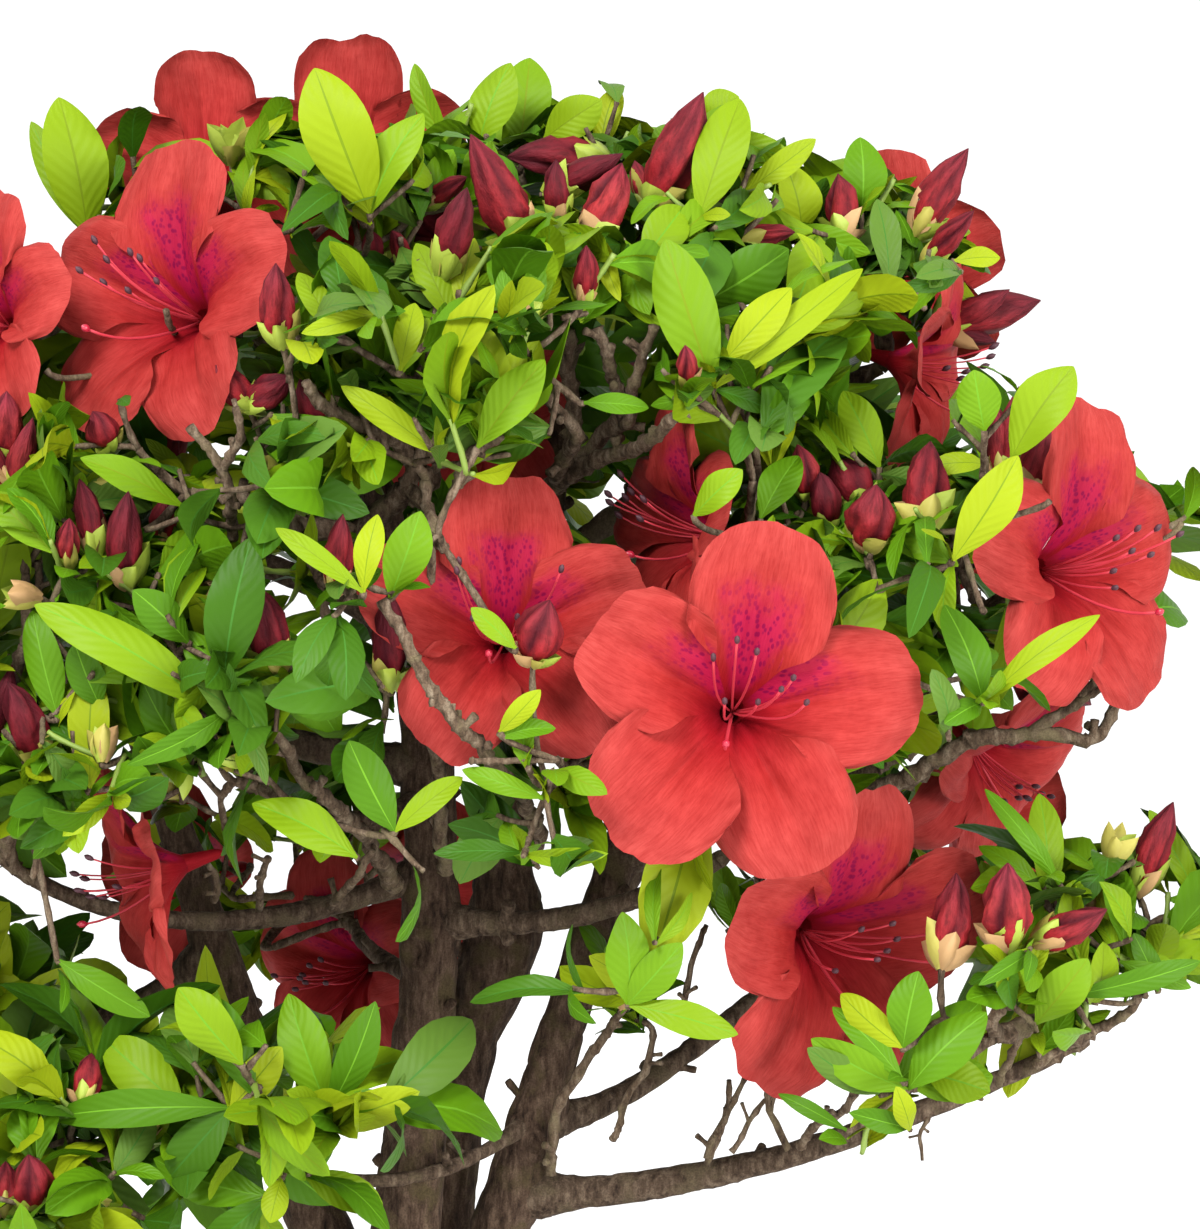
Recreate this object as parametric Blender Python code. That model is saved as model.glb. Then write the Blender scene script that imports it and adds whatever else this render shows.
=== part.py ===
"""A small azalea shrub in flower: one clump of stems from a flared root crown, boughs, and foliage masses.

Units are metres, +Z up. The origin is the middle of the flat cut at ground level. The tables of sizes
below are in millimetres, and mm() turns them into metres. -Y is the side the shrub is looked at from.
"""

import math
import random

import bmesh
import bpy
import numpy as np
from mathutils import Matrix, Vector
from mathutils.bvhtree import BVHTree

# ---------------------------------------------------------------- driving dimensions, in millimetres
MM = 0.001
KEPT_FACES = 0.35  # share of a fused mass's triangles that is kept
WELD = 0.00001  # metres, for the loose caps of a tube
DRAWN_IN = 0.00001  # metres, for the folds of a fused mass
GAP = 0.3  # clearance between neighbouring solids
LOWEST = 1.0  # nothing but the root crown comes nearer to the ground
ROOT_TOP = 24.0  # height at which the stems leave their stubs on the root crown
ROOT_HEIGHT = 15.0  # height of the crown itself
ROOT_LEVELS = (0.12, 0.3, 0.6)  # shares of that height at which its flare is shaped
ROOT_REACH = 33.0  # how far the surface roots run out at the ground
ROOT_HOLLOW = 0.7  # share of that reach between two roots
ROOT_NECK = 16.0  # half width of the crown above its flare
ROOT_COUNT = 7  # surface roots that flare out round the crown
ROOT_SIDES = 35  # sides of the crown: an odd number that the root count divides
STUB_LENGTH = 16.0  # how far a stem's stub reaches down into the crown
STUB_FLARE = 1.15  # how much wider the stub is at its foot
STRAIGHT = 2.5  # a stem sets out straight for this length
STEM_STEPS = 11
STEM_SIDES = 8
BOUGH_STEPS = 7
BOUGH_SIDES = 6
TWIG_SIDES = 3
TWIG_END = 0.95  # half width of a twig at its tip
TWIG_GROWTH = 0.4  # a twig that carries n tips is n to this power times as wide
FORK_SHARE = 0.45  # how far towards its tips a twig forks
FORK_TRIES = 8
NECK_LENGTH = 4.0  # the first length of a mass's stem, beyond the limb that carries it
SINK = 0.7  # how deep a twig's ends are sunk into the next, in its own half widths
LEAF_LENGTH = 29.0
LEAF_WIDTH = 0.46  # share of a leaf's length
LEAF_BELLY = 0.58  # how far along a leaf is widest
LEAF_SPREAD = 0.15  # how far a leaf may stray from its even place round the shoot, as a share of a step
LEAF_LEAN = (34, 66)  # degrees between a leaf and its shoot
LEAF_LOW = 12  # leaves under a cluster of buds lean this much further out
LEAF_SHORT = 0.8  # and are this much shorter
LEAF_CUT = 0.8  # a leaf that does not fit is shortened to this share, and tried again
LEAF_LEAST = 12.0  # a leaf is shortened no further than this to stay in its space
LEAF_REACH = 19.0  # how far a shoot's leaves stand beyond its twig
LEAVES_A_SHOOT = 5
LEAF_TRIES = 4
WHORL_CLEFT = 3.0  # how far out two neighbouring leaves part
WHORL_FOOT = 4.0  # how far a whorl's foot is sunk down its twig
WHORL_BUD = 2.0  # how far the bud in its middle stands up
WALL_MARGIN = 9.0  # a shoot ends this far inside the walls of its mass's space
BLOOM_RADIUS = 33.0  # an open flower, from its throat to a lobe's edge
BLOOM_CUP = 5.0  # how far its rim stands forward of its throat
BLOOM_TUBE = 22.0  # from its foot to its throat
BLOOM_SINK = 3.0  # how far its foot is sunk beyond the end of its twig
FUNNEL_WIDTH = 7.0
FUNNEL_DEPTH = 9.0
PIT_DEPTH = 6.0
LOBE = ((0.18, 0.93), (0.5, 1.0), (0.82, 0.93), (1.0, 0.7))  # along one lobe: (share of its turn, reach)
BLOOM_ROOM = 1.04  # an open flower claims this much more than its size
BLOOM_VIEW = 34.0  # how far in front of a flower the leaves part
BLOOM_BARE = 0.85  # the share of a flower's width over which they part
BLOOM_TRIES = 40
SIDE_BLOOMS = 1  # open flowers on a mass beyond those of the front
BACK_BLOOMS = 2  # the same on a mass at the back
SMALL_MASS = 31.0  # a mass of a smaller mean half size has none
BLOOM_OUT = 0.8  # how far out in its mass such a flower stands, as a share of the half sizes
BACK_STARTS = 40.0  # a mass whose middle lies further back than this is at the back
FRONT_STARTS = -40.0  # a mass whose middle lies further forward than this has the listed flowers only
FRONT_FACES = 0.1  # those flowers look more to the back than this
LEFT_STARTS = -85.0  # further left than this they may look to the front as well
LEFT_FACES = -0.6
TOP_FACES = 0.3  # they stand no higher on their mass than this
BUD_LENGTH = 19.0
BUD_WIDTH = 0.42  # share of a bud's length
BUD_BELLY = 0.4  # how far along a bud is widest
BUD_SIDES = 4
BUDS_A_CLUSTER = 3
BUD_CHANCE = 0.18  # share of the shoots that end in buds
HEART = np.array([10.0, 5.0, 150.0])  # the middle of the whole crown
HEART_FACES = 0.45  # shoots that look more than this towards the heart are left out
SHOOT_RISE = 0.55  # how much a shoot turns up towards the light
SHRINKS = (1.0, 0.85, 0.7, 0.5)  # a shoot that does not fit is drawn in by these shares
WOBBLE = 0.18  # how far a direction strays from its even place
STRAY = 2.5  # how much further off its place a fork is tried each time
BUD_LEAN = (10, 26)  # degrees between a bud and its shoot
BUD_SPREAD = 0.2  # how far it may stray from its even place round the shoot
BUD_SINK = 2.5  # how far its foot is sunk into its shoot
LEAF_GREEN = (0.23, 0.50, 0.05)
BARK_BROWN = (0.16, 0.11, 0.08)
PETAL_RED = (0.80, 0.08, 0.06)
BUD_CRIMSON = (0.42, 0.01, 0.04)

# Stems rise from the root crown: name: (foot, tip, heading and rise at the foot, the same at the tip,
# half width at the foot, half width at the tip). A heading is in degrees: 0 to the right (+X), 90 away
# (+Y), and a rise is in degrees above level.
STEMS = {
    "front_stem": ((-2, -9, ROOT_TOP), (-8, -4, 196), (0, 83), (170, 68), 7.2, 3.2),
    "rear_stem": ((6, 12, ROOT_TOP), (30, 9, 206), (0, 87), (60, 84), 6.3, 3.0),
    "right_stem": ((13, -1, ROOT_TOP), (58, 2, 156), (0, 71), (0, 66), 6.0, 2.8),
    "left_stem": ((-9, 6, ROOT_TOP), (-58, 12, 150), (180, 62), (170, 66), 6.4, 2.6),
}
# Old wood that swells a stem: name: (share of the way up, growth of the half width, half length as a
# share of the stem, push to the right).
SWELLINGS = {"rear_stem": (0.42, 3.0, 0.085, 4.0)}

# Boughs leave a stem part of the way up: name: (stem, share of the way up, tip, heading and rise at the
# stem, the same at the tip, half width at the stem, half width at the tip).
BOUGHS = {
    "lower_right_bough": ("right_stem", 0.19, (129, -16, 79), (-5, 0), (-5, 25), 3.3, 1.6),
    "rear_right_bough": ("right_stem", 0.295, (80, 30, 92), (20, 5), (25, 30), 2.7, 1.7),
    "back_right_bough": ("right_stem", 0.54, (70, 44, 150), (60, 50), (60, 50), 2.9, 1.9),
    "right_bough": ("right_stem", 0.70, (96, -2, 136), (0, 12), (-5, 25), 2.8, 2.0),
    "front_right_bough": ("front_stem", 0.468, (62, -34, 118), (-25, -8), (-20, 30), 2.6, 1.6),
    "front_left_bough": ("front_stem", 0.527, (-70, -30, 114), (190, -28), (200, 30), 2.5, 1.5),
    "mid_left_bough": ("front_stem", 0.638, (-90, 4, 158), (175, 8), (178, 18), 3.1, 2.1),
    "front_bough": ("front_stem", 0.70, (-4, -40, 166), (-95, 25), (-90, 35), 2.7, 1.8),
    "front_low_bough": ("front_stem", 0.60, (-24, -42, 130), (-125, -10), (-130, 30), 2.3, 1.5),
    "upper_left_bough": ("front_stem", 0.787, (-74, -2, 196), (180, 35), (178, 35), 2.7, 1.8),
    "low_back_bough": ("rear_stem", 0.32, (-12, 44, 98), (120, 30), (110, 25), 2.4, 1.5),
    "back_bough": ("rear_stem", 0.60, (6, 46, 182), (95, 50), (90, 55), 2.9, 1.9),
    "upper_right_bough": ("rear_stem", 0.81, (92, 8, 213), (0, 48), (5, 28), 2.7, 1.8),
    "foot_left_bough": ("left_stem", 0.25, (-46, -18, 60), (205, 5), (215, 10), 2.3, 1.5),
    "low_left_bough": ("left_stem", 0.587, (-82, 19, 79), (165, -40), (182, 0), 2.8, 1.8),
    "back_left_bough": ("left_stem", 0.695, (-62, 46, 150), (110, 40), (120, 45), 2.6, 1.8),
    "crossing_bough": ("right_stem", 0.31, (-13, -24, 56), (-125, -25), (188, 15), 1.6, 1.1),
}

# Masses of foliage: name: (limb that carries it, middle, half sizes, leafy shoots).
MASSES = {
    "top_left_foliage": ("front_stem", (-34, -10, 236), (52, 50, 42), 22),
    "top_middle_foliage": ("rear_stem", (36, 0, 240), (42, 50, 35), 16),
    "top_right_foliage": ("upper_right_bough", (96, 8, 228), (30, 38, 33), 12),
    "upper_left_foliage": ("upper_left_bough", (-98, -4, 206), (46, 50, 40), 17),
    "middle_left_foliage": ("left_stem", (-58, 10, 180), (36, 38, 28), 13),
    "left_side_foliage": ("mid_left_bough", (-114, 22, 152), (40, 48, 34), 16),
    "left_front_foliage": ("front_left_bough", (-78, -46, 142), (46, 42, 34), 16),
    "low_left_foliage": ("low_left_bough", (-98, 16, 88), (40, 44, 28), 13),
    "foot_left_foliage": ("foot_left_bough", (-62, -30, 64), (40, 34, 24), 12),
    "crossing_foliage": ("crossing_bough", (-26, -34, 66), (26, 24, 22), 6),
    "front_middle_foliage": ("front_bough", (-6, -58, 184), (50, 42, 40), 21),
    "front_low_foliage": ("front_low_bough", (-32, -62, 144), (34, 32, 26), 13),
    "front_right_foliage": ("front_right_bough", (60, -56, 146), (44, 40, 36), 16),
    "middle_right_foliage": ("right_stem", (58, 2, 186), (36, 36, 28), 12),
    "right_side_foliage": ("right_bough", (112, -8, 174), (50, 50, 38), 18),
    "lower_right_foliage": ("lower_right_bough", (124, -20, 98), (38, 40, 27), 12),
    "rear_right_foliage": ("rear_right_bough", (98, 50, 118), (40, 38, 32), 13),
    "back_right_foliage": ("back_right_bough", (80, 62, 182), (46, 42, 42), 15),
    "back_foliage": ("back_bough", (2, 72, 208), (52, 44, 50), 17),
    "back_left_foliage": ("back_left_bough", (-70, 66, 176), (48, 42, 42), 16),
    "low_back_foliage": ("low_back_bough", (-22, 72, 108), (44, 36, 34), 16),
}

# Open flowers that the front of the shrub is known by: (mass, throat, heading and rise that the flower
# faces, share of the full radius).
FRONT_BLOOMS = [
    ("front_right_foliage", (64, -82, 148), (-86, 4), 1.0),
    ("right_side_foliage", (130, -38, 174), (-48, 2), 0.92),
    ("front_right_foliage", (84, -42, 102), (-52, -14), 1.0),
    ("front_middle_foliage", (22, -70, 160), (-82, 14), 0.85),
    ("front_right_foliage", (57, -46, 182), (-140, 10), 0.75),
    ("top_right_foliage", (98, -6, 214), (-50, -30), 0.7),
    ("rear_right_foliage", (120, 24, 134), (-40, -40), 0.75),
    ("top_left_foliage", (-38, -50, 221), (-118, 12), 0.9),
    ("top_left_foliage", (-78, -46, 221), (-125, 8), 0.75),
    ("top_left_foliage", (-43, -10, 254), (-110, 34), 0.75),
    ("top_left_foliage", (-9, 14, 259), (-78, 30), 0.75),
    ("front_low_foliage", (-46, -50, 116), (-160, -16), 0.7),
    ("low_back_foliage", (-16, 60, 89), (-130, -4), 0.8),
    ("top_middle_foliage", (14, -14, 206), (-95, -12), 0.65),
]
# Clusters of closed buds that stand out at the front: (mass, foot of the cluster, heading and rise).
FRONT_BUDS = [
    ("top_middle_foliage", (26, -40, 238), (-120, 62)),
    ("top_middle_foliage", (40, -34, 244), (-80, 66)),
    ("top_middle_foliage", (54, -22, 246), (-30, 60)),
    ("top_right_foliage", (88, -14, 238), (-110, 78)),
    ("top_right_foliage", (104, -2, 240), (-20, 58)),
    ("right_side_foliage", (98, -48, 182), (-110, 72)),
    ("right_side_foliage", (82, -42, 184), (-120, 66)),
    ("left_front_foliage", (-56, -62, 166), (-110, 70)),
    ("front_middle_foliage", (-26, -74, 162), (-120, 68)),
    ("front_middle_foliage", (-22, -64, 200), (-125, 56)),
    ("left_front_foliage", (-78, -56, 136), (-110, 72)),
    ("lower_right_foliage", (110, -46, 94), (-95, 74)),
    ("lower_right_foliage", (146, -24, 106), (-30, 70)),
]


# ---------------------------------------------------------------- small helpers
def mm(values):
    """Millimetres to metres, for a number or a sequence."""
    return np.asarray(values, dtype=float) * MM


def unit(vector):
    return vector / (np.linalg.norm(vector) + 1e-12)


def facing(heading, rise):
    """The unit vector of a heading and a rise in degrees."""
    turn, lift = math.radians(heading), math.radians(rise)
    return np.array([math.cos(turn) * math.cos(lift), math.sin(turn) * math.cos(lift), math.sin(lift)])


def limb_line(foot, tip, sets_out, arrives, steps):
    """Points on the smooth curve from foot to tip that leaves and arrives in the two directions."""
    share = np.linspace(0, 1, steps)[:, None]
    span = np.linalg.norm(tip - foot)
    start_pull = facing(*sets_out) * span
    end_pull = facing(*arrives) * span
    cube, square = share**3, share**2
    return (
        (2 * cube - 3 * square + 1) * foot
        + (cube - 2 * square + share) * start_pull
        + (3 * square - 2 * cube) * tip
        + (cube - square) * end_pull
    )


def point_along(line, share):
    """The point that lies this share of the length along a line of points."""
    run = np.concatenate([[0.0], np.cumsum(np.linalg.norm(np.diff(line, axis=0), axis=1))])
    return np.array([np.interp(share * run[-1], run, line[:, axis]) for axis in range(3)])


# ---------------------------------------------------------------- solids
def clear_scene():
    for item in list(bpy.data.objects):
        bpy.data.objects.remove(item, do_unlink=True)


def new_collection(name):
    group = bpy.data.collections.new(name)
    bpy.context.scene.collection.children.link(group)
    return group


def finish_material(name, colour, roughness):
    material = bpy.data.materials.new(name)
    material.use_nodes = True
    shader = material.node_tree.nodes["Principled BSDF"]
    shader.inputs["Base Color"].default_value = (*colour, 1.0)
    shader.inputs["Roughness"].default_value = roughness
    shader.inputs["Metallic"].default_value = 0.0
    material.diffuse_color = (*colour, 1.0)
    return material


def place_mesh(name, mesh, material, group):
    item = bpy.data.objects.new(name, mesh)
    mesh.materials.clear()
    mesh.materials.append(material)
    group.objects.link(item)
    return item


def place_shape(name, shape, material, group):
    """Turn a shape that was made in millimetres into an object in metres."""
    bmesh.ops.scale(shape, vec=(MM, MM, MM), verts=shape.verts)
    bmesh.ops.recalc_face_normals(shape, faces=shape.faces)
    mesh = bpy.data.meshes.new(name)
    shape.to_mesh(mesh)
    shape.free()
    return place_mesh(name, mesh, material, group)


def tube(name, line, half_widths, sides, material, group):
    """A round limb: a curve with a bevel and a half width at each point, made a mesh with welded caps."""
    path = bpy.data.curves.new(name + "_path", "CURVE")
    path.dimensions = "3D"
    path.bevel_depth = MM
    path.bevel_resolution = (sides - 4) // 2
    path.render_resolution_u = 0
    path.use_fill_caps = True
    spline = path.splines.new("POLY")
    spline.points.add(len(line) - 1)
    for point, place, half in zip(spline.points, mm(line), half_widths):
        point.co = (*place, 1.0)
        point.radius = half
    guide = bpy.data.objects.new(name + "_guide", path)
    group.objects.link(guide)
    bpy.context.view_layer.update()
    drawn = guide.evaluated_get(bpy.context.evaluated_depsgraph_get())
    mesh = bpy.data.meshes.new_from_object(drawn)
    shape = bmesh.new()
    shape.from_mesh(mesh)
    bmesh.ops.remove_doubles(shape, verts=shape.verts, dist=WELD)
    bmesh.ops.recalc_face_normals(shape, faces=shape.faces)
    shape.to_mesh(mesh)
    shape.free()
    limb = place_mesh(name, mesh, material, group)
    limb.matrix_world = guide.matrix_world
    bpy.data.objects.remove(guide, do_unlink=True)
    mesh.shade_smooth()
    mesh.set_sharp_from_angle(angle=math.radians(60))
    return limb


def boolean(item, operation, **operand):
    cut = item.modifiers.new(operation.lower(), "BOOLEAN")
    cut.operation = operation
    cut.solver = "EXACT"
    cut.material_mode = "TRANSFER"
    for key, value in operand.items():
        setattr(cut, key, value)
    return cut


def apply_modifiers(item):
    """Keep the mesh as its modifiers leave it, and drop them."""
    bpy.context.view_layer.update()
    drawn = item.evaluated_get(bpy.context.evaluated_depsgraph_get())
    mesh = bpy.data.meshes.new_from_object(drawn)
    item.modifiers.clear()
    item.data = mesh
    mesh.name = item.name


def tidy_body(item):
    """Drop any loose scrap beside the main body, and draw each point in a little along its normal.

    The drawing in parts the folds of one body that would otherwise only touch."""
    shape = bmesh.new()
    shape.from_mesh(item.data)
    waiting = set(shape.verts)
    bodies = []
    while waiting:
        body, front = set(), [waiting.pop()]
        while front:
            vert = front.pop()
            body.add(vert)
            near = {edge.other_vert(vert) for edge in vert.link_edges} & waiting
            waiting -= near
            front.extend(near)
        bodies.append(body)
    bodies.sort(key=len)
    loose = [vert for body in bodies[:-1] for vert in body]
    bmesh.ops.delete(shape, geom=loose, context="VERTS")
    shape.normal_update()
    for vert in shape.verts:
        vert.co -= vert.normal * DRAWN_IN
    shape.to_mesh(item.data)
    shape.free()


def fuse(item, scraps):
    """Join everything in the scraps collection to the item by one Boolean union, then drop the scraps."""
    boolean(item, "UNION", operand_type="COLLECTION", collection=scraps)
    apply_modifiers(item)
    for scrap in list(scraps.objects):
        bpy.data.objects.remove(scrap, do_unlink=True)
    bpy.data.collections.remove(scraps)


def thin_out(item, keep):
    """Keep this share of the triangles. The small ones where roots cross go first."""
    thin = item.modifiers.new("fewer_faces", "DECIMATE")
    thin.decimate_type = "COLLAPSE"
    thin.ratio = keep
    thin.use_collapse_triangulate = True
    apply_modifiers(item)


# ---------------------------------------------------------------- root crown, stems and boughs
def swelling(name, share):
    """How far an old swelling of a stem has risen at each share of its length, from 0 to 1."""
    if name not in SWELLINGS:
        return np.zeros_like(share)
    centre, _, half_length, _ = SWELLINGS[name]
    return np.exp(-(((share - centre) / half_length) ** 2))


def stem_line(name):
    """The centre line and the half widths of a stem. It sets out straight, a gap above its stub."""
    foot, tip, sets_out, arrives, half_foot, half_tip = STEMS[name]
    line = limb_line(np.array(foot), np.array(tip), sets_out, arrives, STEM_STEPS)
    share = np.linspace(0, 1, STEM_STEPS)
    rise = swelling(name, share)
    half = half_foot + (half_tip - half_foot) * share
    if name in SWELLINGS:
        _, growth, _, push = SWELLINGS[name]
        half = half + growth * rise
        line = line + np.outer(rise, (push, 0, 0))
    out = facing(*sets_out)
    line = np.concatenate([[foot + out * GAP, foot + out * STRAIGHT], line[1:]])
    half = np.concatenate([half[:1], half])
    return line, half


def bough_line(name, parent_line):
    """The centre line and the half widths of a bough, from its stem's centre line to its tip."""
    _, share, tip, sets_out, arrives, half_foot, half_tip = BOUGHS[name]
    foot = point_along(parent_line, share)
    line = limb_line(foot, np.array(tip), sets_out, arrives, BOUGH_STEPS)
    return line, np.linspace(half_foot, half_tip, BOUGH_STEPS)


def root_crown(bark, group):
    """The flared foot of the clump: a cylinder cut into levels, with each point moved out to its root."""
    shape = bmesh.new()
    bmesh.ops.create_cone(
        shape, cap_ends=True, segments=ROOT_SIDES, radius1=1.0, radius2=1.0, depth=ROOT_HEIGHT
    )
    bmesh.ops.translate(shape, vec=(0, 0, ROOT_HEIGHT / 2), verts=shape.verts)
    for level in ROOT_LEVELS:
        everything = shape.verts[:] + shape.edges[:] + shape.faces[:]
        height = (0, 0, level * ROOT_HEIGHT)
        bmesh.ops.bisect_plane(shape, geom=everything, plane_co=height, plane_no=(0, 0, 1))
    for vert in shape.verts:
        turn = math.atan2(vert.co.y, vert.co.x)
        share = vert.co.z / ROOT_HEIGHT
        ridge = (0.5 + 0.5 * math.cos(ROOT_COUNT * turn)) ** 1.5
        uneven = 1 + 0.12 * math.cos(2 * turn + 0.8) + 0.08 * math.cos(3 * turn)
        reach = ROOT_REACH * uneven * (ROOT_HOLLOW + (1 - ROOT_HOLLOW) * ridge)
        neck = ROOT_NECK * (1 - 0.25 * share**2)
        out = neck + (reach - neck) * (1 - share) ** 2.4
        vert.co.x = out * math.cos(turn)
        vert.co.y = out * math.sin(turn)
    crown = place_shape("root_crown", shape, bark, group)
    stubs = new_collection("stubs")
    for name, (foot, _, sets_out, _, half, _) in STEMS.items():
        down = np.array(foot) - facing(*sets_out) * STUB_LENGTH
        tube(name + "_stub", np.array([down, foot]), (half * STUB_FLARE, half), STEM_SIDES, bark, stubs)
    fuse(crown, stubs)
    return crown


def cutter_for(name, line, half, sides, bark, cutters):
    """A copy of a limb that is wider by the gap, for cutting what meets it and for keeping clear of it."""
    wide = tube(name + "_cutter", line, half + GAP, sides, bark, cutters)
    wide.hide_render = True
    wide.display_type = "WIRE"
    return wide


# ---------------------------------------------------------------- twigs, leaves, buds and flowers
def rod(start, end, half_start, half_end):
    """A three-sided twig from start to end."""
    shape = bmesh.new()
    along = Vector(end - start)
    turned = along.to_track_quat("Z", "Y").to_matrix().to_4x4()
    bmesh.ops.create_cone(
        shape, cap_ends=True, segments=TWIG_SIDES, radius1=half_start, radius2=half_end,
        depth=along.length, matrix=Matrix.Translation((start + end) / 2) @ turned,
    )
    return shape


def bud(root, along, face, length):
    """A closed flower bud: pointed at both ends and widest near its foot."""
    half = length * BUD_WIDTH / 2
    across = unit(np.cross(face, along))
    axes = np.array([across * half, np.cross(along, across) * half, along * length / 2])
    place = Matrix.Identity(4)
    for row in range(3):
        place[row][:3] = axes[:, row]
        place[row][3] = root[row] + along[row] * length / 2
    shape = bmesh.new()
    bmesh.ops.create_uvsphere(shape, u_segments=BUD_SIDES, v_segments=2, radius=1.0, matrix=place)
    middle = Vector(root + along * length / 2)
    for vert in shape.verts:
        if abs((vert.co - middle).dot(Vector(along))) < length / 4:
            vert.co += Vector(along) * (BUD_BELLY - 0.5) * length
    return shape


def whorl(root, points, leaves):
    """A ring of leaves in one solid, from a foot below their root to a bud above it.

    Each leaf is (across, aims, length): its tip lies along aims, and its two widest points to its sides."""
    rim = []
    for k, (across, aims, length) in enumerate(leaves):
        _, after, _ = leaves[(k + 1) % len(leaves)]
        belly = root + aims * length * LEAF_BELLY
        half = across * length * LEAF_WIDTH / 2
        rim += [belly - half, root + aims * length, belly + half, root + unit(aims + after) * WHORL_CLEFT]
    shape = bmesh.new()
    foot = shape.verts.new(root - points * WHORL_FOOT)
    bud = shape.verts.new(root + points * WHORL_BUD)
    ring = [shape.verts.new(place) for place in rim]
    for low, high in zip(ring, ring[1:] + ring[:1]):
        shape.faces.new((foot, high, low))
        shape.faces.new((bud, low, high))
    bmesh.ops.recalc_face_normals(shape, faces=shape.faces)
    return shape


def flower(throat, faces, share):
    """An open flower of five lobes: a funnel from a point at its foot, over the rim, down to its throat."""
    up = unit(np.cross(np.cross(faces, (0, 0, 1)), faces))
    side = np.cross(faces, up)
    radius = BLOOM_RADIUS * share
    count = len(LOBE) * 5
    turns = np.array([(k // len(LOBE) + LOBE[k % len(LOBE)][0] - 0.5) * math.tau / 5 for k in range(count)])
    reach = np.array([LOBE[k % len(LOBE)][1] for k in range(count)]) * radius
    spokes = np.outer(np.cos(turns), up) + np.outer(np.sin(turns), side)
    rim = throat + spokes * reach[:, None] + faces * BLOOM_CUP * share
    funnel = throat + spokes * FUNNEL_WIDTH * share - faces * FUNNEL_DEPTH * share
    shape = bmesh.new()
    foot = shape.verts.new(throat - faces * (BLOOM_TUBE * share + BLOOM_SINK))
    pit = shape.verts.new(throat - faces * PIT_DEPTH * share)
    low = [shape.verts.new(place) for place in funnel]
    high = [shape.verts.new(place) for place in rim]
    for k in range(count):
        after = (k + 1) % count
        shape.faces.new((foot, low[k], low[after]))
        shape.faces.new((low[k], high[k], low[after]))
        shape.faces.new((high[k], high[after], low[after]))
        shape.faces.new((high[k], pit, high[after]))
    bmesh.ops.recalc_face_normals(shape, faces=shape.faces)
    return shape


# ---------------------------------------------------------------- the space of each mass
def room_of(name):
    """The flat walls between a mass and its neighbours, as directions and how far off they lie."""
    _, middle, half, _ = MASSES[name]
    middle = np.array(middle, dtype=float)
    walls, reach = [], []
    for other, (_, there, size, _) in MASSES.items():
        if other != name:
            across = np.array(there) - middle
            span = np.linalg.norm(across)
            walls.append(across / span)
            reach.append((span**2 + np.mean(half) ** 2 - np.mean(size) ** 2) / (2 * span) - GAP)
    return middle, np.array(walls), np.array(reach)


def inside(points, room, margin=0.0):
    middle, walls, reach = room
    points = np.atleast_2d(points)
    return bool(np.all((points - middle) @ walls.T <= reach - margin) and points[:, 2].min() > LOWEST)


def corners(shape):
    return np.array([vert.co for vert in shape.verts])


def touches(shape, others):
    tree = BVHTree.FromBMesh(shape)
    return any(tree.overlap(other) for other in others)


def spiral(count, chance):
    """Directions spread evenly over a sphere, each a little off its place."""
    golden = math.pi * (3 - math.sqrt(5))
    for k in range(count):
        level = 1 - 2 * (k + 0.5) / count
        ring = math.sqrt(1 - level**2)
        turn = golden * k
        wobble = np.array([chance.uniform(-1, 1) for _ in range(3)]) * WOBBLE
        yield unit(np.array([ring * math.cos(turn), ring * math.sin(turn), level]) + wobble)


# ---------------------------------------------------------------- growing a mass
def outer_bloom_rows(name, chance):
    """Further open flowers on the outer side of a mass, where the list of front flowers has none."""
    _, middle, half, _ = MASSES[name]
    middle, half = np.array(middle, dtype=float), np.array(half, dtype=float)
    wanted = BACK_BLOOMS if middle[1] > BACK_STARTS else SIDE_BLOOMS
    if np.mean(half) < SMALL_MASS or middle[1] < FRONT_STARTS:
        wanted = 0
    outward = unit(middle - HEART)
    rows = []
    for direction in spiral(BLOOM_TRIES, chance):
        throat = middle + half * direction * BLOOM_OUT
        faces = unit(direction + 0.4 * outward)
        least = LEFT_FACES if throat[0] < LEFT_STARTS else FRONT_FACES
        if direction @ outward > 0.25 and faces[1] > least and -0.5 < direction[2] < TOP_FACES:
            rows.append((direction @ outward + chance.random(), throat, faces))
    rows.sort(key=lambda row: -row[0])
    return wanted, [(throat, faces) for _, throat, faces in rows]


def place_blooms(rooms, limbs):
    """Every open flower claims its space before any twig or leaf.

    It gives, for each mass, rows of (foot, throat, faces, share of the full size, search tree)."""
    placed = {name: [] for name in MASSES}
    taken = list(limbs)

    def claim(name, throat, faces, share):
        foot = throat - faces * BLOOM_TUBE * share
        wide = flower(throat, faces, share * BLOOM_ROOM)
        clear = inside(foot, rooms[name]) and corners(wide)[:, 2].min() > LOWEST
        if clear and not touches(wide, taken):
            tree = BVHTree.FromBMesh(wide)
            placed[name].append((foot, throat, faces, share, tree))
            taken.append(tree)
        wide.free()

    for name, throat, faced, share in FRONT_BLOOMS:
        claim(name, np.array(throat, dtype=float), facing(*faced), share)
    for name in MASSES:
        chance = random.Random("flowers of " + name)
        wanted, rows = outer_bloom_rows(name, chance)
        goal = len(placed[name]) + wanted
        for throat, faces in rows:
            if len(placed[name]) >= goal:
                break
            claim(name, throat, faces, chance.uniform(0.8, 0.95))
    return placed


def shaded(point, blooms):
    """Whether a point lies in front of an open flower, where leaves part before it."""
    for _, throat, faces, share, _ in blooms:
        ahead = (point - throat) @ faces
        aside = np.linalg.norm(point - throat - faces * ahead)
        if -2 < ahead < BLOOM_VIEW and aside < BLOOM_RADIUS * share * BLOOM_BARE:
            return True
    return False


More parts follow.
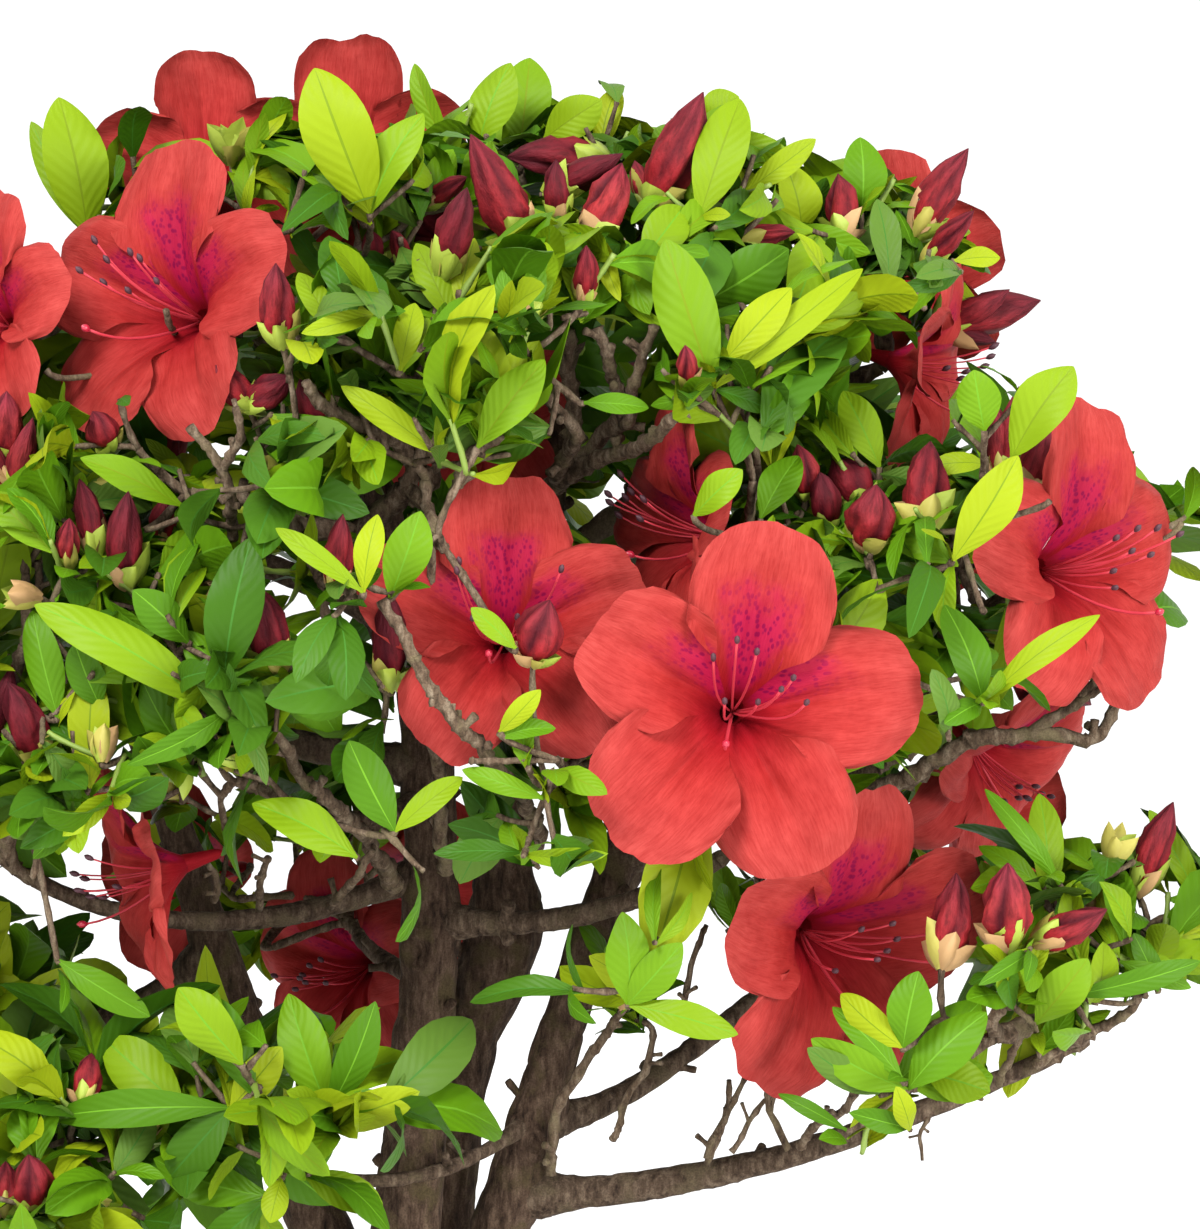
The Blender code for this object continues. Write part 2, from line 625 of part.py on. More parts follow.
def shoot_tips(name, room, chance, every_bloom):
    """Where the leafy shoots of a mass end, and which way each one points."""
    _, middle, half, count = MASSES[name]
    middle = np.array(middle, dtype=float)
    inward = unit(HEART - middle)
    tips = []
    for direction in spiral(count, chance):
        if direction @ inward > HEART_FACES:
            continue
        for shrink in SHRINKS:
            tip = middle + (np.array(half) - LEAF_REACH) * direction * shrink
            if inside(tip, room, WALL_MARGIN) and not shaded(tip, every_bloom):
                tips.append((tip, unit(direction + (0, 0, SHOOT_RISE))))
                break
    return tips


def fork(start, half_start, tips, spot):
    """Split the tips in two across their longest spread, and grow one twig towards each half."""
    places = np.array([tip[0] for tip in tips])
    if len(tips) == 1:
        return [(start, places[0], half_start, TWIG_END, tips[0])]
    middle = places.mean(axis=0)
    half = TWIG_END * len(tips) ** TWIG_GROWTH
    hub = spot(start, start + (middle - start) * FORK_SHARE, half_start)
    twigs = [] if hub is None else [(start, hub, half_start, half, None)]
    hub = start if hub is None else hub
    spread = np.linalg.svd(places - middle)[2][0]
    spread = spread * np.sign(spread[np.argmax(np.abs(spread))])
    order = np.argsort((places - middle) @ spread, kind="stable")
    cut = len(tips) // 2
    for part in (order[:cut], order[cut:]):
        branch = [tips[k] for k in part]
        twigs += fork(hub, TWIG_END * len(branch) ** TWIG_GROWTH, branch, spot)
    return twigs


def bud_shapes(end, along, leaning, side, chance):
    """The closed buds of one cluster."""
    for k in range(BUDS_A_CLUSTER):
        turn = math.tau * (k + chance.uniform(-BUD_SPREAD, BUD_SPREAD)) / BUDS_A_CLUSTER
        aims = leaning(turn, math.radians(chance.uniform(*BUD_LEAN)))
        yield bud(end - (along + aims) * BUD_SINK / 2, aims, side, BUD_LENGTH * chance.uniform(0.85, 1.1))


def leaf_ring(end, points, leaning, low, attempt, fits, chance):
    """The leaves round one shoot, each shortened until it fits."""
    leaves = []
    for k in range(LEAVES_A_SHOOT):
        turn = math.tau * (k + attempt * 0.5 + chance.uniform(-LEAF_SPREAD, LEAF_SPREAD)) / LEAVES_A_SHOOT
        aims = leaning(turn, math.radians(chance.uniform(*LEAF_LEAN) + LEAF_LOW * low))
        length = LEAF_LENGTH * chance.uniform(0.8, 1.15) * (LEAF_SHORT if low else 1)
        while length > LEAF_LEAST and not fits(end, aims, length):
            length *= LEAF_CUT
        leaves.append((unit(np.cross(points, aims)), aims, length))
    return whorl(end, points, leaves)


def grow_mass(name, carrier, rooms, limbs, blooms, finishes, group):
    """One mass of foliage: twigs that fork from the limb's tip, each ending in leaves, buds or a flower."""
    chance = random.Random(name)
    room = rooms[name]
    every_bloom = [bloom for row in blooms.values() for bloom in row]
    trees = [bloom[4] for bloom in every_bloom]
    bark, green, red, crimson = finishes
    line, half_widths = carrier
    out = unit(line[-1] - line[-2])
    start = line[-1] + out * GAP
    neck = start + out * NECK_LENGTH

    def clear(shape, own=None):
        others = limbs + [tree for tree in trees if tree is not own]
        return inside(corners(shape), room) and not touches(shape, others)

    def keep(label, shape, finish):
        """Add a shape to those that are fused, or drop it where it isn't clear."""
        good = clear(shape)
        if good:
            place_shape(name + label, shape, finish, scraps)
        else:
            shape.free()
        return good

    def fits(root, aims, length):
        tip = root + aims * length
        return inside(tip, room, length * LEAF_WIDTH / 4) and not shaded(tip, every_bloom)

    def spot(begin, end, half):
        """A place for the next fork: the wanted one, or one near it that is clear of limbs and flowers."""
        for attempt in range(FORK_TRIES):
            stray = np.array([chance.uniform(-1, 1) for _ in range(3)]) * attempt * STRAY
            trial = rod(begin, end + stray, half, half)
            good = clear(trial)
            trial.free()
            if good:
                return end + stray
        return None

    def sunk_rod(begin, end, half_begin, half_end):
        along = unit(end - begin)
        return rod(begin - along * half_begin * SINK, end + along * half_end * SINK, half_begin, half_end)

    tips = [(bloom[0], bloom[2], "flower", bloom) for bloom in blooms[name]]
    for owner, foot, faced in FRONT_BUDS:
        if owner == name:
            tips.append((np.array(foot, dtype=float), facing(*faced), "buds", None))
    for tip, points in shoot_tips(name, room, chance, every_bloom):
        tips.append((tip, points, "buds" if chance.random() < BUD_CHANCE else "leaves", None))
    stem_half = min(half_widths[-1] * TWIG_END, TWIG_END * len(tips) ** TWIG_GROWTH)
    scraps = new_collection("scraps")
    mass = place_shape(name, rod(start, neck, stem_half, stem_half), bark, group)
    forks = [(neck, stem_half)]
    for begin, end, half_begin, half_end, tip in fork(neck, stem_half, tips, spot):
        if tip is None:
            place_shape(name + "_twig", sunk_rod(begin, end, half_begin, half_end), bark, scraps)
            forks.append((end, half_end))
            continue
        _, points, kind, bloom = tip
        own = bloom[4] if bloom else None
        ways = [(begin, half_begin)]
        if bloom:
            ways += sorted(forks, key=lambda way: np.linalg.norm(way[0] - end))
        for way, half in ways:
            twig = sunk_rod(way, end, min(half, half_begin), half_end)
            if clear(twig, own):
                break
            twig.free()
        else:
            continue
        place_shape(name + "_twig", twig, bark, scraps)
        if bloom:
            _, throat, faces, share, _ = bloom
            place_shape(name + "_flower", flower(throat, faces, share), red, scraps)
            continue
        along = unit(end - way)
        side = unit(np.cross(points, along + (0.3, 0.2, 0.1)))
        ahead = np.cross(points, side)

        def leaning(turn, lean):
            return points * math.cos(lean) + (side * math.cos(turn) + ahead * math.sin(turn)) * math.sin(lean)

        if kind == "buds":
            for closed in bud_shapes(end, along, leaning, side, chance):
                keep("_bud", closed, crimson)
        for attempt in range(LEAF_TRIES):
            ring = leaf_ring(end, points, leaning, kind == "buds", attempt, fits, chance)
            if keep("_leaves", ring, green):
                break
    fuse(mass, scraps)
    thin_out(mass, KEPT_FACES)
    tidy_body(mass)


# ---------------------------------------------------------------- the whole shrub
def build_shrub():
    clear_scene()
    shrub = new_collection("azalea_shrub")
    cutters = new_collection("cutters")
    bark = finish_material("mottled_bark", BARK_BROWN, 0.85)
    green = finish_material("green_leaf", LEAF_GREEN, 0.45)
    red = finish_material("coral_petal", PETAL_RED, 0.5)
    crimson = finish_material("crimson_bud", BUD_CRIMSON, 0.5)
    root_crown(bark, shrub)
    carriers, wide = {}, {}
    for name in STEMS:
        line, half = stem_line(name)
        carriers[name] = (line, half)
        tube(name, line, half, STEM_SIDES, bark, shrub)
        wide[name] = cutter_for(name, line, half, STEM_SIDES, bark, cutters)
    for name, row in BOUGHS.items():
        line, half = bough_line(name, carriers[row[0]][0])
        carriers[name] = (line, half)
        bough = tube(name, line, half, BOUGH_SIDES, bark, shrub)
        boolean(bough, "DIFFERENCE", operand_type="OBJECT", object=wide[row[0]])
        wide[name] = cutter_for(name, line, half, BOUGH_SIDES, bark, cutters)
    limbs = []
    for item in wide.values():
        shape = bmesh.new()
        shape.from_mesh(item.data)
        bmesh.ops.scale(shape, vec=(1 / MM, 1 / MM, 1 / MM), verts=shape.verts)
        limbs.append(BVHTree.FromBMesh(shape))
        shape.free()
    rooms = {name: room_of(name) for name in MASSES}
    blooms = place_blooms(rooms, limbs)
    finishes = (bark, green, red, crimson)
    for name in MASSES:
        grow_mass(name, carriers[MASSES[name][0]], rooms, limbs, blooms, finishes, shrub)


build_shrub()
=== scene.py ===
# %% [markdown]
# # An azalea shrub in flower
#
# This lesson dresses a small azalea. The solid model is already there: a root crown, four stems, their boughs
# and one rough solid for each mass of foliage. We keep its sizes, and grow what the eye wants over it: bark
# with relief, knobbly twigs, leaves in whorls, crimson buds and open coral flowers.
#
# All lengths in the tables are in millimetres. The scene itself is in metres, +Z up, and the shrub is looked
# at from -Y.

# %% Load the solid model
import random
from itertools import product
from math import cos, hypot, pi, radians, sin, sqrt, tau

import bpy
import numpy as np
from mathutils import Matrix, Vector
from mathutils.bvhtree import BVHTree
from numpy.linalg import norm


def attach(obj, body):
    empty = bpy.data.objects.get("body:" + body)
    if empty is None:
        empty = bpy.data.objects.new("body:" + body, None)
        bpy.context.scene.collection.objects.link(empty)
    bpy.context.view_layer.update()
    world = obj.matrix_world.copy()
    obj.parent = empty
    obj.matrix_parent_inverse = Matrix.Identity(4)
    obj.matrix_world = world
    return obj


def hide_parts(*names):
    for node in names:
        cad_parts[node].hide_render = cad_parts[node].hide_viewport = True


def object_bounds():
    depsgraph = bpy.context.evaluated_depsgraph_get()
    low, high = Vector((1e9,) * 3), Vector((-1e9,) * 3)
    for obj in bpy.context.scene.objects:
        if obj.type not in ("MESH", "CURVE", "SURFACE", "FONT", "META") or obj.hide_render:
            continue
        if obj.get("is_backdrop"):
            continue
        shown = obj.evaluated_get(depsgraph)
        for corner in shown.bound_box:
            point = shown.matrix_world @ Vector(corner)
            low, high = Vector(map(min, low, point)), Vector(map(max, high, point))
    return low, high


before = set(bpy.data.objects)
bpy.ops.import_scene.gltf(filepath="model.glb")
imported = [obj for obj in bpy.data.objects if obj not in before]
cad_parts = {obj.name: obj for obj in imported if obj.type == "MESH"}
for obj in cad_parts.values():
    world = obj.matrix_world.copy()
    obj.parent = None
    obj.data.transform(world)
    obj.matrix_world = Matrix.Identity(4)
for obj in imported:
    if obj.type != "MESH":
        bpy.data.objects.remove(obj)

cad_box = [list(corner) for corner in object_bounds()]
box_low, box_high = (np.array(corner) * 1000 for corner in cad_box)
print("solid model, mm:", np.round(box_high - box_low, 1))

# %% [markdown]
# ## The camera
#
# The shrub is seen from close by and level, through a long lens, so it hardly tapers with distance. The camera
# could be aimed with a constraint, but two numbers say it better: where it stands, and how wide it sees.

# %% Place the camera
MM = 0.001
CAMERA_AT = (39.0, -850.0, 165.1)
SEEN_TALL = 245.8  # height of the view at the middle of the shrub
SENSOR = 36.0


def linked(name, data):
    """An object of this name that stands in the scene."""
    item = bpy.data.objects.new(name, data)
    bpy.context.scene.collection.objects.link(item)
    return item


def camera_here():
    """A level camera that looks along +Y. Lens = sensor × distance ÷ the height that it sees."""
    lens = bpy.data.cameras.new("studio_camera")
    lens.sensor_fit = "AUTO"
    lens.sensor_width = SENSOR
    lens.lens = SENSOR * -CAMERA_AT[1] / SEEN_TALL
    lens.clip_start = 0.01
    camera = linked("studio_camera", lens)
    camera.location = [place * MM for place in CAMERA_AT]
    camera.rotation_euler = (pi / 2, 0, 0)
    return camera


bpy.context.scene.camera = camera_here()
print("lens, mm:", round(bpy.context.scene.camera.data.lens, 1))

# %% [markdown]
# ## The plan of the shrub
#
# The stems, boughs and masses stand in the same tables as in the solid model, so that everything that grows
# here stays within its reach. A heading is in degrees: 0 to the right (+X), 90 away (+Y). A rise is in degrees
# above level.

# %% The tables of stems and boughs
GAP = 0.3  # air between neighbours
LOWEST = 1.0  # nothing that grows hangs lower
ROOT_TOP = 24.0  # where the stems set out
STEMS = {  # foot, tip, (heading, rise) at the foot and at the tip, half width at the foot and at the tip
    "front_stem": ((-2, -9, ROOT_TOP), (-8, -4, 196), (0, 83), (170, 68), 7.2, 3.2),
    "rear_stem": ((6, 12, ROOT_TOP), (30, 9, 206), (0, 87), (60, 84), 6.3, 3.0),
    "right_stem": ((13, -1, ROOT_TOP), (58, 2, 156), (0, 71), (0, 66), 6.0, 2.8),
    "left_stem": ((-9, 6, ROOT_TOP), (-58, 12, 150), (180, 62), (170, 66), 6.4, 2.6),
}
SWELLINGS = {"rear_stem": (0.42, 3.0, 0.085, 4.0)}  # share of the length, growth, half length, push to the right
BOUGHS = {  # stem, share of its length, tip, (heading, rise) at the foot and at the tip, half widths
    "lower_right_bough": ("right_stem", 0.19, (129, -16, 79), (-5, 0), (-5, 25), 3.3, 1.6),
    "rear_right_bough": ("right_stem", 0.295, (80, 30, 92), (20, 5), (25, 30), 2.7, 1.7),
    "back_right_bough": ("right_stem", 0.54, (70, 44, 150), (60, 50), (60, 50), 2.9, 1.9),
    "right_bough": ("right_stem", 0.70, (96, -2, 136), (0, 12), (-5, 25), 2.8, 2.0),
    "front_right_bough": ("front_stem", 0.468, (62, -34, 118), (-25, -8), (-20, 30), 2.6, 1.6),
    "front_left_bough": ("front_stem", 0.527, (-70, -30, 114), (190, -28), (200, 30), 2.5, 1.5),
    "mid_left_bough": ("front_stem", 0.638, (-90, 4, 158), (175, 8), (178, 18), 3.1, 2.1),
    "front_bough": ("front_stem", 0.70, (-4, -40, 166), (-95, 25), (-90, 35), 2.7, 1.8),
    "front_low_bough": ("front_stem", 0.60, (-24, -42, 130), (-125, -10), (-130, 30), 2.3, 1.5),
    "upper_left_bough": ("front_stem", 0.787, (-74, -2, 196), (180, 35), (178, 35), 2.7, 1.8),
    "low_back_bough": ("rear_stem", 0.32, (-12, 44, 98), (120, 30), (110, 25), 2.4, 1.5),
    "back_bough": ("rear_stem", 0.60, (6, 46, 182), (95, 50), (90, 55), 2.9, 1.9),
    "upper_right_bough": ("rear_stem", 0.81, (92, 8, 213), (0, 48), (5, 28), 2.7, 1.8),
    "foot_left_bough": ("left_stem", 0.25, (-46, -18, 60), (205, 5), (215, 10), 2.3, 1.5),
    "low_left_bough": ("left_stem", 0.587, (-82, 19, 79), (165, -40), (182, 0), 2.8, 1.8),
    "back_left_bough": ("left_stem", 0.695, (-62, 46, 150), (110, 40), (120, 45), 2.6, 1.8),
    "crossing_bough": ("right_stem", 0.31, (-13, -24, 56), (-125, -25), (188, 15), 1.6, 1.1),
}
print(len(STEMS), "stems,", len(BOUGHS), "boughs")

# %% The tables of foliage, open flowers and buds
MASSES = {  # the limb that carries it, middle, half sizes, number of shoots
    "top_left_foliage": ("front_stem", (-34, -10, 236), (52, 50, 42), 22),
    "top_middle_foliage": ("rear_stem", (36, 0, 240), (42, 50, 35), 16),
    "top_right_foliage": ("upper_right_bough", (96, 8, 228), (30, 38, 33), 12),
    "upper_left_foliage": ("upper_left_bough", (-98, -4, 206), (46, 50, 40), 17),
    "middle_left_foliage": ("left_stem", (-58, 10, 180), (36, 38, 28), 13),
    "left_side_foliage": ("mid_left_bough", (-114, 22, 152), (40, 48, 34), 16),
    "left_front_foliage": ("front_left_bough", (-78, -46, 142), (46, 42, 34), 16),
    "low_left_foliage": ("low_left_bough", (-98, 16, 88), (40, 44, 28), 13),
    "foot_left_foliage": ("foot_left_bough", (-62, -30, 64), (40, 34, 24), 12),
    "crossing_foliage": ("crossing_bough", (-26, -34, 66), (26, 24, 22), 6),
    "front_middle_foliage": ("front_bough", (-6, -58, 184), (50, 42, 40), 21),
    "front_low_foliage": ("front_low_bough", (-32, -62, 144), (34, 32, 26), 13),
    "front_right_foliage": ("front_right_bough", (60, -56, 146), (44, 40, 36), 16),
    "middle_right_foliage": ("right_stem", (58, 2, 186), (36, 36, 28), 12),
    "right_side_foliage": ("right_bough", (112, -8, 174), (50, 50, 38), 18),
    "lower_right_foliage": ("lower_right_bough", (124, -20, 98), (38, 40, 27), 12),
    "rear_right_foliage": ("rear_right_bough", (98, 50, 118), (40, 38, 32), 13),
    "back_right_foliage": ("back_right_bough", (80, 62, 182), (46, 42, 42), 15),
    "back_foliage": ("back_bough", (2, 72, 208), (52, 44, 50), 17),
    "back_left_foliage": ("back_left_bough", (-70, 66, 176), (48, 42, 42), 16),
    "low_back_foliage": ("low_back_bough", (-22, 72, 108), (44, 36, 34), 16),
}
FRONT_BLOOMS = [  # mass, throat, (heading, rise), share of the full size, share of it that stays in view
    ("front_right_foliage", (64, -82, 148), (-86, 4), 1.0, 0.80),
    ("right_side_foliage", (130, -38, 174), (-48, 2), 0.92, 0.75),
    ("front_right_foliage", (84, -42, 102), (-52, -14), 1.0, 0.75),
    ("front_middle_foliage", (22, -70, 162), (-84, 14), 0.85, 0.40),
    ("front_right_foliage", (55, -46, 181), (-156, 8), 0.75, 0.60),
    ("top_right_foliage", (103, -4, 214), (-20, -16), 0.68, 0.0),
    ("rear_right_foliage", (120, 24, 134), (-40, -40), 0.75, 0.40),
    ("top_left_foliage", (-42, -50, 223), (-128, 12), 0.9, 0.60),
    ("top_left_foliage", (-78, -46, 221), (-125, 8), 0.75, 0.50),
    ("top_left_foliage", (-38, -10, 252), (80, 22), 0.75, 0.0),
    ("top_left_foliage", (-13, 14, 256), (100, 24), 0.8, 0.0),
    ("front_low_foliage", (-46, -50, 116), (-160, -16), 0.7, 0.60),
    ("low_back_foliage", (-16, 60, 89), (-130, -4), 0.8, 0.40),
    ("top_middle_foliage", (14, -14, 206), (-95, -12), 0.65, 0.0),
]
KEY_BUDS = [  # foot of the cluster, then for each bud: foot to tip, and how wide it is
    (25, -40, 235, -11, -5, 21, 9.5), (40, -14, 254, -19, -3, 2, 8.3), (49, -29, 244, 10, -7, 21, 9.3, -4, 2, 9, 4.8),
    (37, -41, 236, 7, 2, 15, 8.4), (31, -39, 241, -1, -5, 10, 5.3), (36, -58, 224, 1, -7, 9, 4.8),
    (10, -61, 228, 4, -7, 16, 7.1), (6, -35, 244, 8, -7, 5, 4.2), (-4, -38, 232, -1, 2, 7, 4.6),
    (87, -12, 240, 0, 4, 12, 6.7), (102, -5, 241, 9, -3, 17, 7.6), (104, -8, 235, 8, -7, 10, 5.2),
    (89, -56, 178, 1, -5, 11, 9.3), (100, -56, 181, 0, 4, 17, 8.6), (89, -45, 186, -5, 4, 9, 8.7),
    (82, -48, 182, -1, -3, 10, 6.0), (78, -47, 188, -1, -3, 9, 5.7), (-20, -75, 155, -3, -5, 16, 7.7),
    (-48, -67, 171, -1, -7, 16, 7.0), (-54, -65, 177, -2, -3, 13, 5.5), (-59, -66, 175, 0, -5, 8, 4.4),
    (-9, -77, 170, 1, -7, 13, 5.5), (27, -86, 157, 2, -3, 11, 8.6), (-53, -55, 197, -2, -3, 6, 6.4),
    (-72, -55, 195, 0, -5, 12, 6.7), (-19, -73, 215, -2, -5, 14, 6.6), (-26, -63, 204, -6, -3, 7, 5.9, 8, -3, 5, 6.7),
    (-12, -63, 200, -5, -3, 8, 5.6), (-65, -61, 138, -4, -7, 15, 7.8), (-58, -51, 74, 1, 4, 8, 5.6),
    (-66, -59, 55, -1, -3, 10, 7.4), (-72, -58, 54, 0, 2, 9, 5.6), (103, -56, 100, 4, 4, 16, 8.2),
    (115, -56, 103, -1, -5, 16, 9.3), (143, -30, 112, 5, -5, 17, 6.9), (121, -50, 103, 13, -5, 7, 6.4),
    (55, -71, 208, 0, -5, 6, 4.0), (67, -26, 238, 10, 2, 2, 4.3), (-43, -53, 179, 0, -3, 8, 4.9),
    (2, -41, 232, -2, -7, 6, 3.8),
]
FURTHER_BUDS = [  # place, heading, rise and number of the buds in further clusters
    (-78, -56, 136, -110, 72, 4), (-70, -56, 186, -140, 60, 3), (115, -40, 190, -100, 72, 2),
    (28, -34, 246, -20, 25, 1), (1, -70, 151, -90, 66, 1),
]
OPEN_SKY = [  # outlines, as X and Z on the plane y = 0, of the places round the crown where only sky shows
    [(-83, 318), (-83, 235), (-78, 232), (-72, 236), (-66, 236), (-62, 246), (-59, 255), (-56, 266), (-51, 274),
     (-43, 280), (-35, 278), (-29, 271), (-23, 281), (-11, 284), (-1, 278), (7, 270), (13, 266), (17, 274),
     (22, 278), (28, 267), (37, 270), (42, 272), (49, 260), (54, 266), (58, 269), (61, 264), (66, 269), (71, 268),
     (73, 258), (85, 262), (91, 262), (98, 251), (104, 254), (112, 260), (115, 238), (120, 236), (121, 226),
     (110, 218), (116, 215), (123, 209), (128, 213), (134, 216), (136, 210), (139, 213), (141, 202), (145, 196),
     (149, 201), (161, 195), (161, 318)],
    [(161, 162), (155, 160), (147, 154), (146, 149), (140, 141), (139, 134), (139, 132), (146, 130), (153, 127),
     (154, 123), (161, 115)],
    [(161, 90), (149, 90), (145, 87), (145, 84), (140, 81), (134, 76), (122, 70), (119, 66), (104, 62), (91, 59),
     (77, 57), (59, 51), (45, 48), (29, 46), (24, 39), (161, 39)],
]
print(len(MASSES), "masses,", len(FRONT_BLOOMS), "open flowers in front,", len(KEY_BUDS), "bud clusters in front")

# %% [markdown]
# Some twigs show bare between the leaves. Each is a row of the points that it runs through, from its foot.

# %% The table of bare twigs
BARE_TWIGS = [  # half width at foot and tip, (leaf length, age) of the whorl at its end or None, points
    (0.8, 0.5, None, ((60, -26, 60), (63, -26, 67), (67, -26, 75))),
    (0.6, 0.4, None, ((65, -28, 61), (68, -28, 67), (73, -28, 72), (78, -28, 73))),
    (0.45, 0.3, None, ((102, -34, 68), (100, -34, 64), (101, -34, 60))),
    (0.7, 0.5, None, ((76, -30, 62), (72, -30, 69), (71, -30, 74))),
    (1.7, 1.0, None, ((-1, -14, 112), (-3, -24, 116), (-7, -46, 125), (-15, -60, 134), (-21, -70, 145))),
    (1.5, 1.0, None, ((27, -10, 119), (27, -30, 124), (24, -64, 132), (18, -84, 140), (10, -90, 151), (0, -90, 168))),
    (1.5, 1.1, None, ((9, -14, 115), (8, -22, 120), (7, -34, 140), (4, -44, 152))),
    (1.1, 0.8, None, ((-29, -60, 179), (-29, -68, 185), (-30, -74, 192), (-35, -76, 199))),
    (0.9, 0.7, None, ((-30, -73, 191), (-27, -78, 197), (-27, -80, 203))),
    (1.9, 1.2, None, ((25, -10, 184), (30, -24, 189), (34, -34, 199), (33, -40, 210), (33, -44, 219))),
    (1.6, 1.0, None, ((30, -26, 190), (43, -42, 203), (41, -50, 211), (39, -54, 219))),
    (1.4, 0.9, None, ((39, -36, 199), (45, -44, 202), (46, -50, 211), (49, -56, 219))),
    (1.8, 1.2, None, ((28, -22, 188), (35, -34, 193), (45, -50, 196), (52, -66, 201))),
    (1.9, 1.0, None, ((10, -40, 186), (5, -60, 193), (-1, -68, 198), (-9, -74, 202), (-14, -78, 207))),
    (1.5, 0.9, None, ((30, -24, 189), (34, -50, 199), (29, -58, 207))),
    (2.2, 0.9, None, ((87, -8, 122), (91, -14, 129), (101, -18, 134), (111, -22, 140), (121, -24, 142),
                     (133, -24, 141), (139, -22, 147), (144, -20, 157))),
    (1.2, 0.7, None, ((123, -24, 142), (134, -26, 149), (142, -24, 156))),
    (0.9, 0.7, None, ((133, -26, 149), (135, -28, 154), (134, -30, 159))),
    (1.1, 0.8, (23, 1), ((29, -6, 54), (31, -10, 68), (39, -14, 81), (43, -18, 88))),
    (0.7, 0.5, None, ((52, -14, 87), (55, -16, 89), (58, -18, 100), (60, -18, 105))),
    (0.8, 0.6, (15, 1), ((41, -10, 61), (43, -12, 66), (50, -14, 82), (46, -14, 85))),
    (0.7, 0.5, None, ((60, -12, 57), (63, -16, 66), (65, -18, 74))),
    (1.1, 0.8, (20, 1), ((125, -18, 77), (137, -22, 85), (142, -26, 89), (145, -30, 96))),
    (0.9, 0.7, (17, 1), ((78, -14, 60), (81, -20, 65), (87, -30, 71), (92, -38, 80))),
    (0.8, 0.6, None, ((117, -18, 73), (119, -24, 80), (122, -30, 87))),
    (0.9, 0.7, (14, 1), ((-13, -30, 109), (-8, -38, 114), (-4, -42, 120))),
    (0.8, 0.6, None, ((-36, -24, 109), (-35, -28, 113), (-37, -30, 117))),
    (0.8, 0.6, None, ((-27, -24, 108), (-27, -30, 114), (-25, -34, 118))),
    (1.0, 0.7, None, ((-68, -10, 150), (-65, -40, 155), (-66, -52, 167), (-65, -56, 175))),
    (1.3, 0.8, (24, 0), ((14, -40, 175), (12, -62, 186), (15, -74, 193), (21, -80, 197))),
]
print(len(BARE_TWIGS), "bare twigs")

# %% [markdown]
# The leafy shoots that stand foremost have places of their own: where each whorl sits, which way it points,
# how long its leaves are, and how old they look (0 young, 1 ripe, 2 old).

# %% The table of foremost shoots
FRONT_SHOOTS = [  # place, heading, rise, leaf length and age
    (-61, -20, 239, 95, 75, 27, 0), (-28, -45, 241, -100, 60, 22, 0), (-19, -52, 238, -95, 70, 24, 0),
    (-4, -56, 240, -110, 72, 28, 0), (9, -10, 257, 90, 80, 20, 0), (23, 0, 258, 80, 80, 24, 1),
    (39, 0, 258, 70, 80, 22, 1), (58, -38, 241, -30, 55, 26, 0), (60, -62, 207, -105, 50, 28, 0),
    (17, -88, 195, -60, 55, 24, 0), (47, -45, 232, -95, 55, 22, 0), (13, -66, 225, -100, 75, 18, 0),
    (3, -84, 209, -95, 75, 20, 1), (-10, -76, 217, -160, 55, 22, 1), (24, -74, 217, -40, 50, 20, 1),
    (91, -4, 245, 70, 75, 22, 1), (79, -8, 240, 170, 55, 22, 1), (96, -14, 229, -20, 40, 24, 2),
    (110, -64, 191, -25, 45, 26, 0), (104, -66, 175, -95, 35, 24, 1), (92, -44, 193, 100, 70, 22, 1),
    (109, -74, 149, -70, 10, 24, 0), (152, -24, 183, 60, 70, 24, 1), (76, -54, 218, -30, 15, 26, 0),
    (74, -34, 198, -90, 40, 22, 1), (-52, -74, 138, 90, 75, 26, 0), (-49, -54, 188, 195, 10, 24, 0),
    (-38, -54, 191, -100, 75, 22, 0), (-29, -82, 153, -95, 72, 30, 2), (-36, -76, 160, 192, 12, 30, 2),
    (-3, -96, 169, -110, 66, 22, 0), (2, -84, 126, -100, 60, 20, 1), (-10, -78, 122, 190, 20, 24, 2),
    (116, -52, 93, -90, 40, 22, 1), (97, -46, 75, 195, 22, 22, 1), (107, -52, 77, -80, 5, 20, 1),
    (134, -40, 91, -15, 12, 28, 1), (126, -46, 114, 110, 70, 22, 2), (149, -30, 103, 60, 70, 22, 1),
    (-17, -52, 72, -70, 50, 26, 1), (-39, -52, 72, 190, 25, 30, 2), (-21, -50, 59, -100, 30, 18, 0),
    (-30, -56, 73, -100, 75, 28, 1), (-53, -52, 55, 200, 20, 24, 1), (-65, -52, 211, 150, 60, 24, 1),
    (-61, -60, 186, 190, 10, 22, 2), (-64, -66, 168, 200, 10, 22, 1), (-67, -58, 116, 200, 20, 24, 1),
    (-40, -50, 130, 180, 40, 22, 1), (-25, -70, 138, -150, 20, 22, 2), (32, -60, 131, -80, 10, 22, 1),
    (16, -86, 139, -60, 20, 22, 2), (41, -40, 175, -90, 50, 22, 1), (59, -20, 176, -90, 60, 22, 2),
    (122, -66, 186, -50, 40, 24, 1), (136, -40, 118, -30, 60, 20, 2), (-64, -60, 131, 200, 20, 22, 1),
    (-47, -40, 219, 190, 50, 22, 1), (-70, -50, 194, 190, 50, 22, 0), (-50, 20, 226, 90, 72, 28, 1),
    (-34, 34, 224, 90, 75, 28, 0), (-18, 42, 228, 90, 70, 28, 1), (-8, 28, 222, 80, 75, 26, 1),
    (-62, 6, 224, 120, 70, 28, 0), (-32, 14, 222, 90, 80, 28, 1),
]
print(len(FRONT_SHOOTS), "listed leafy shoots")

# %% [markdown]
# The largest leaves in front are listed one by one, because the eye finds them first. Each has its root, the way
# to its tip, its width and its age.

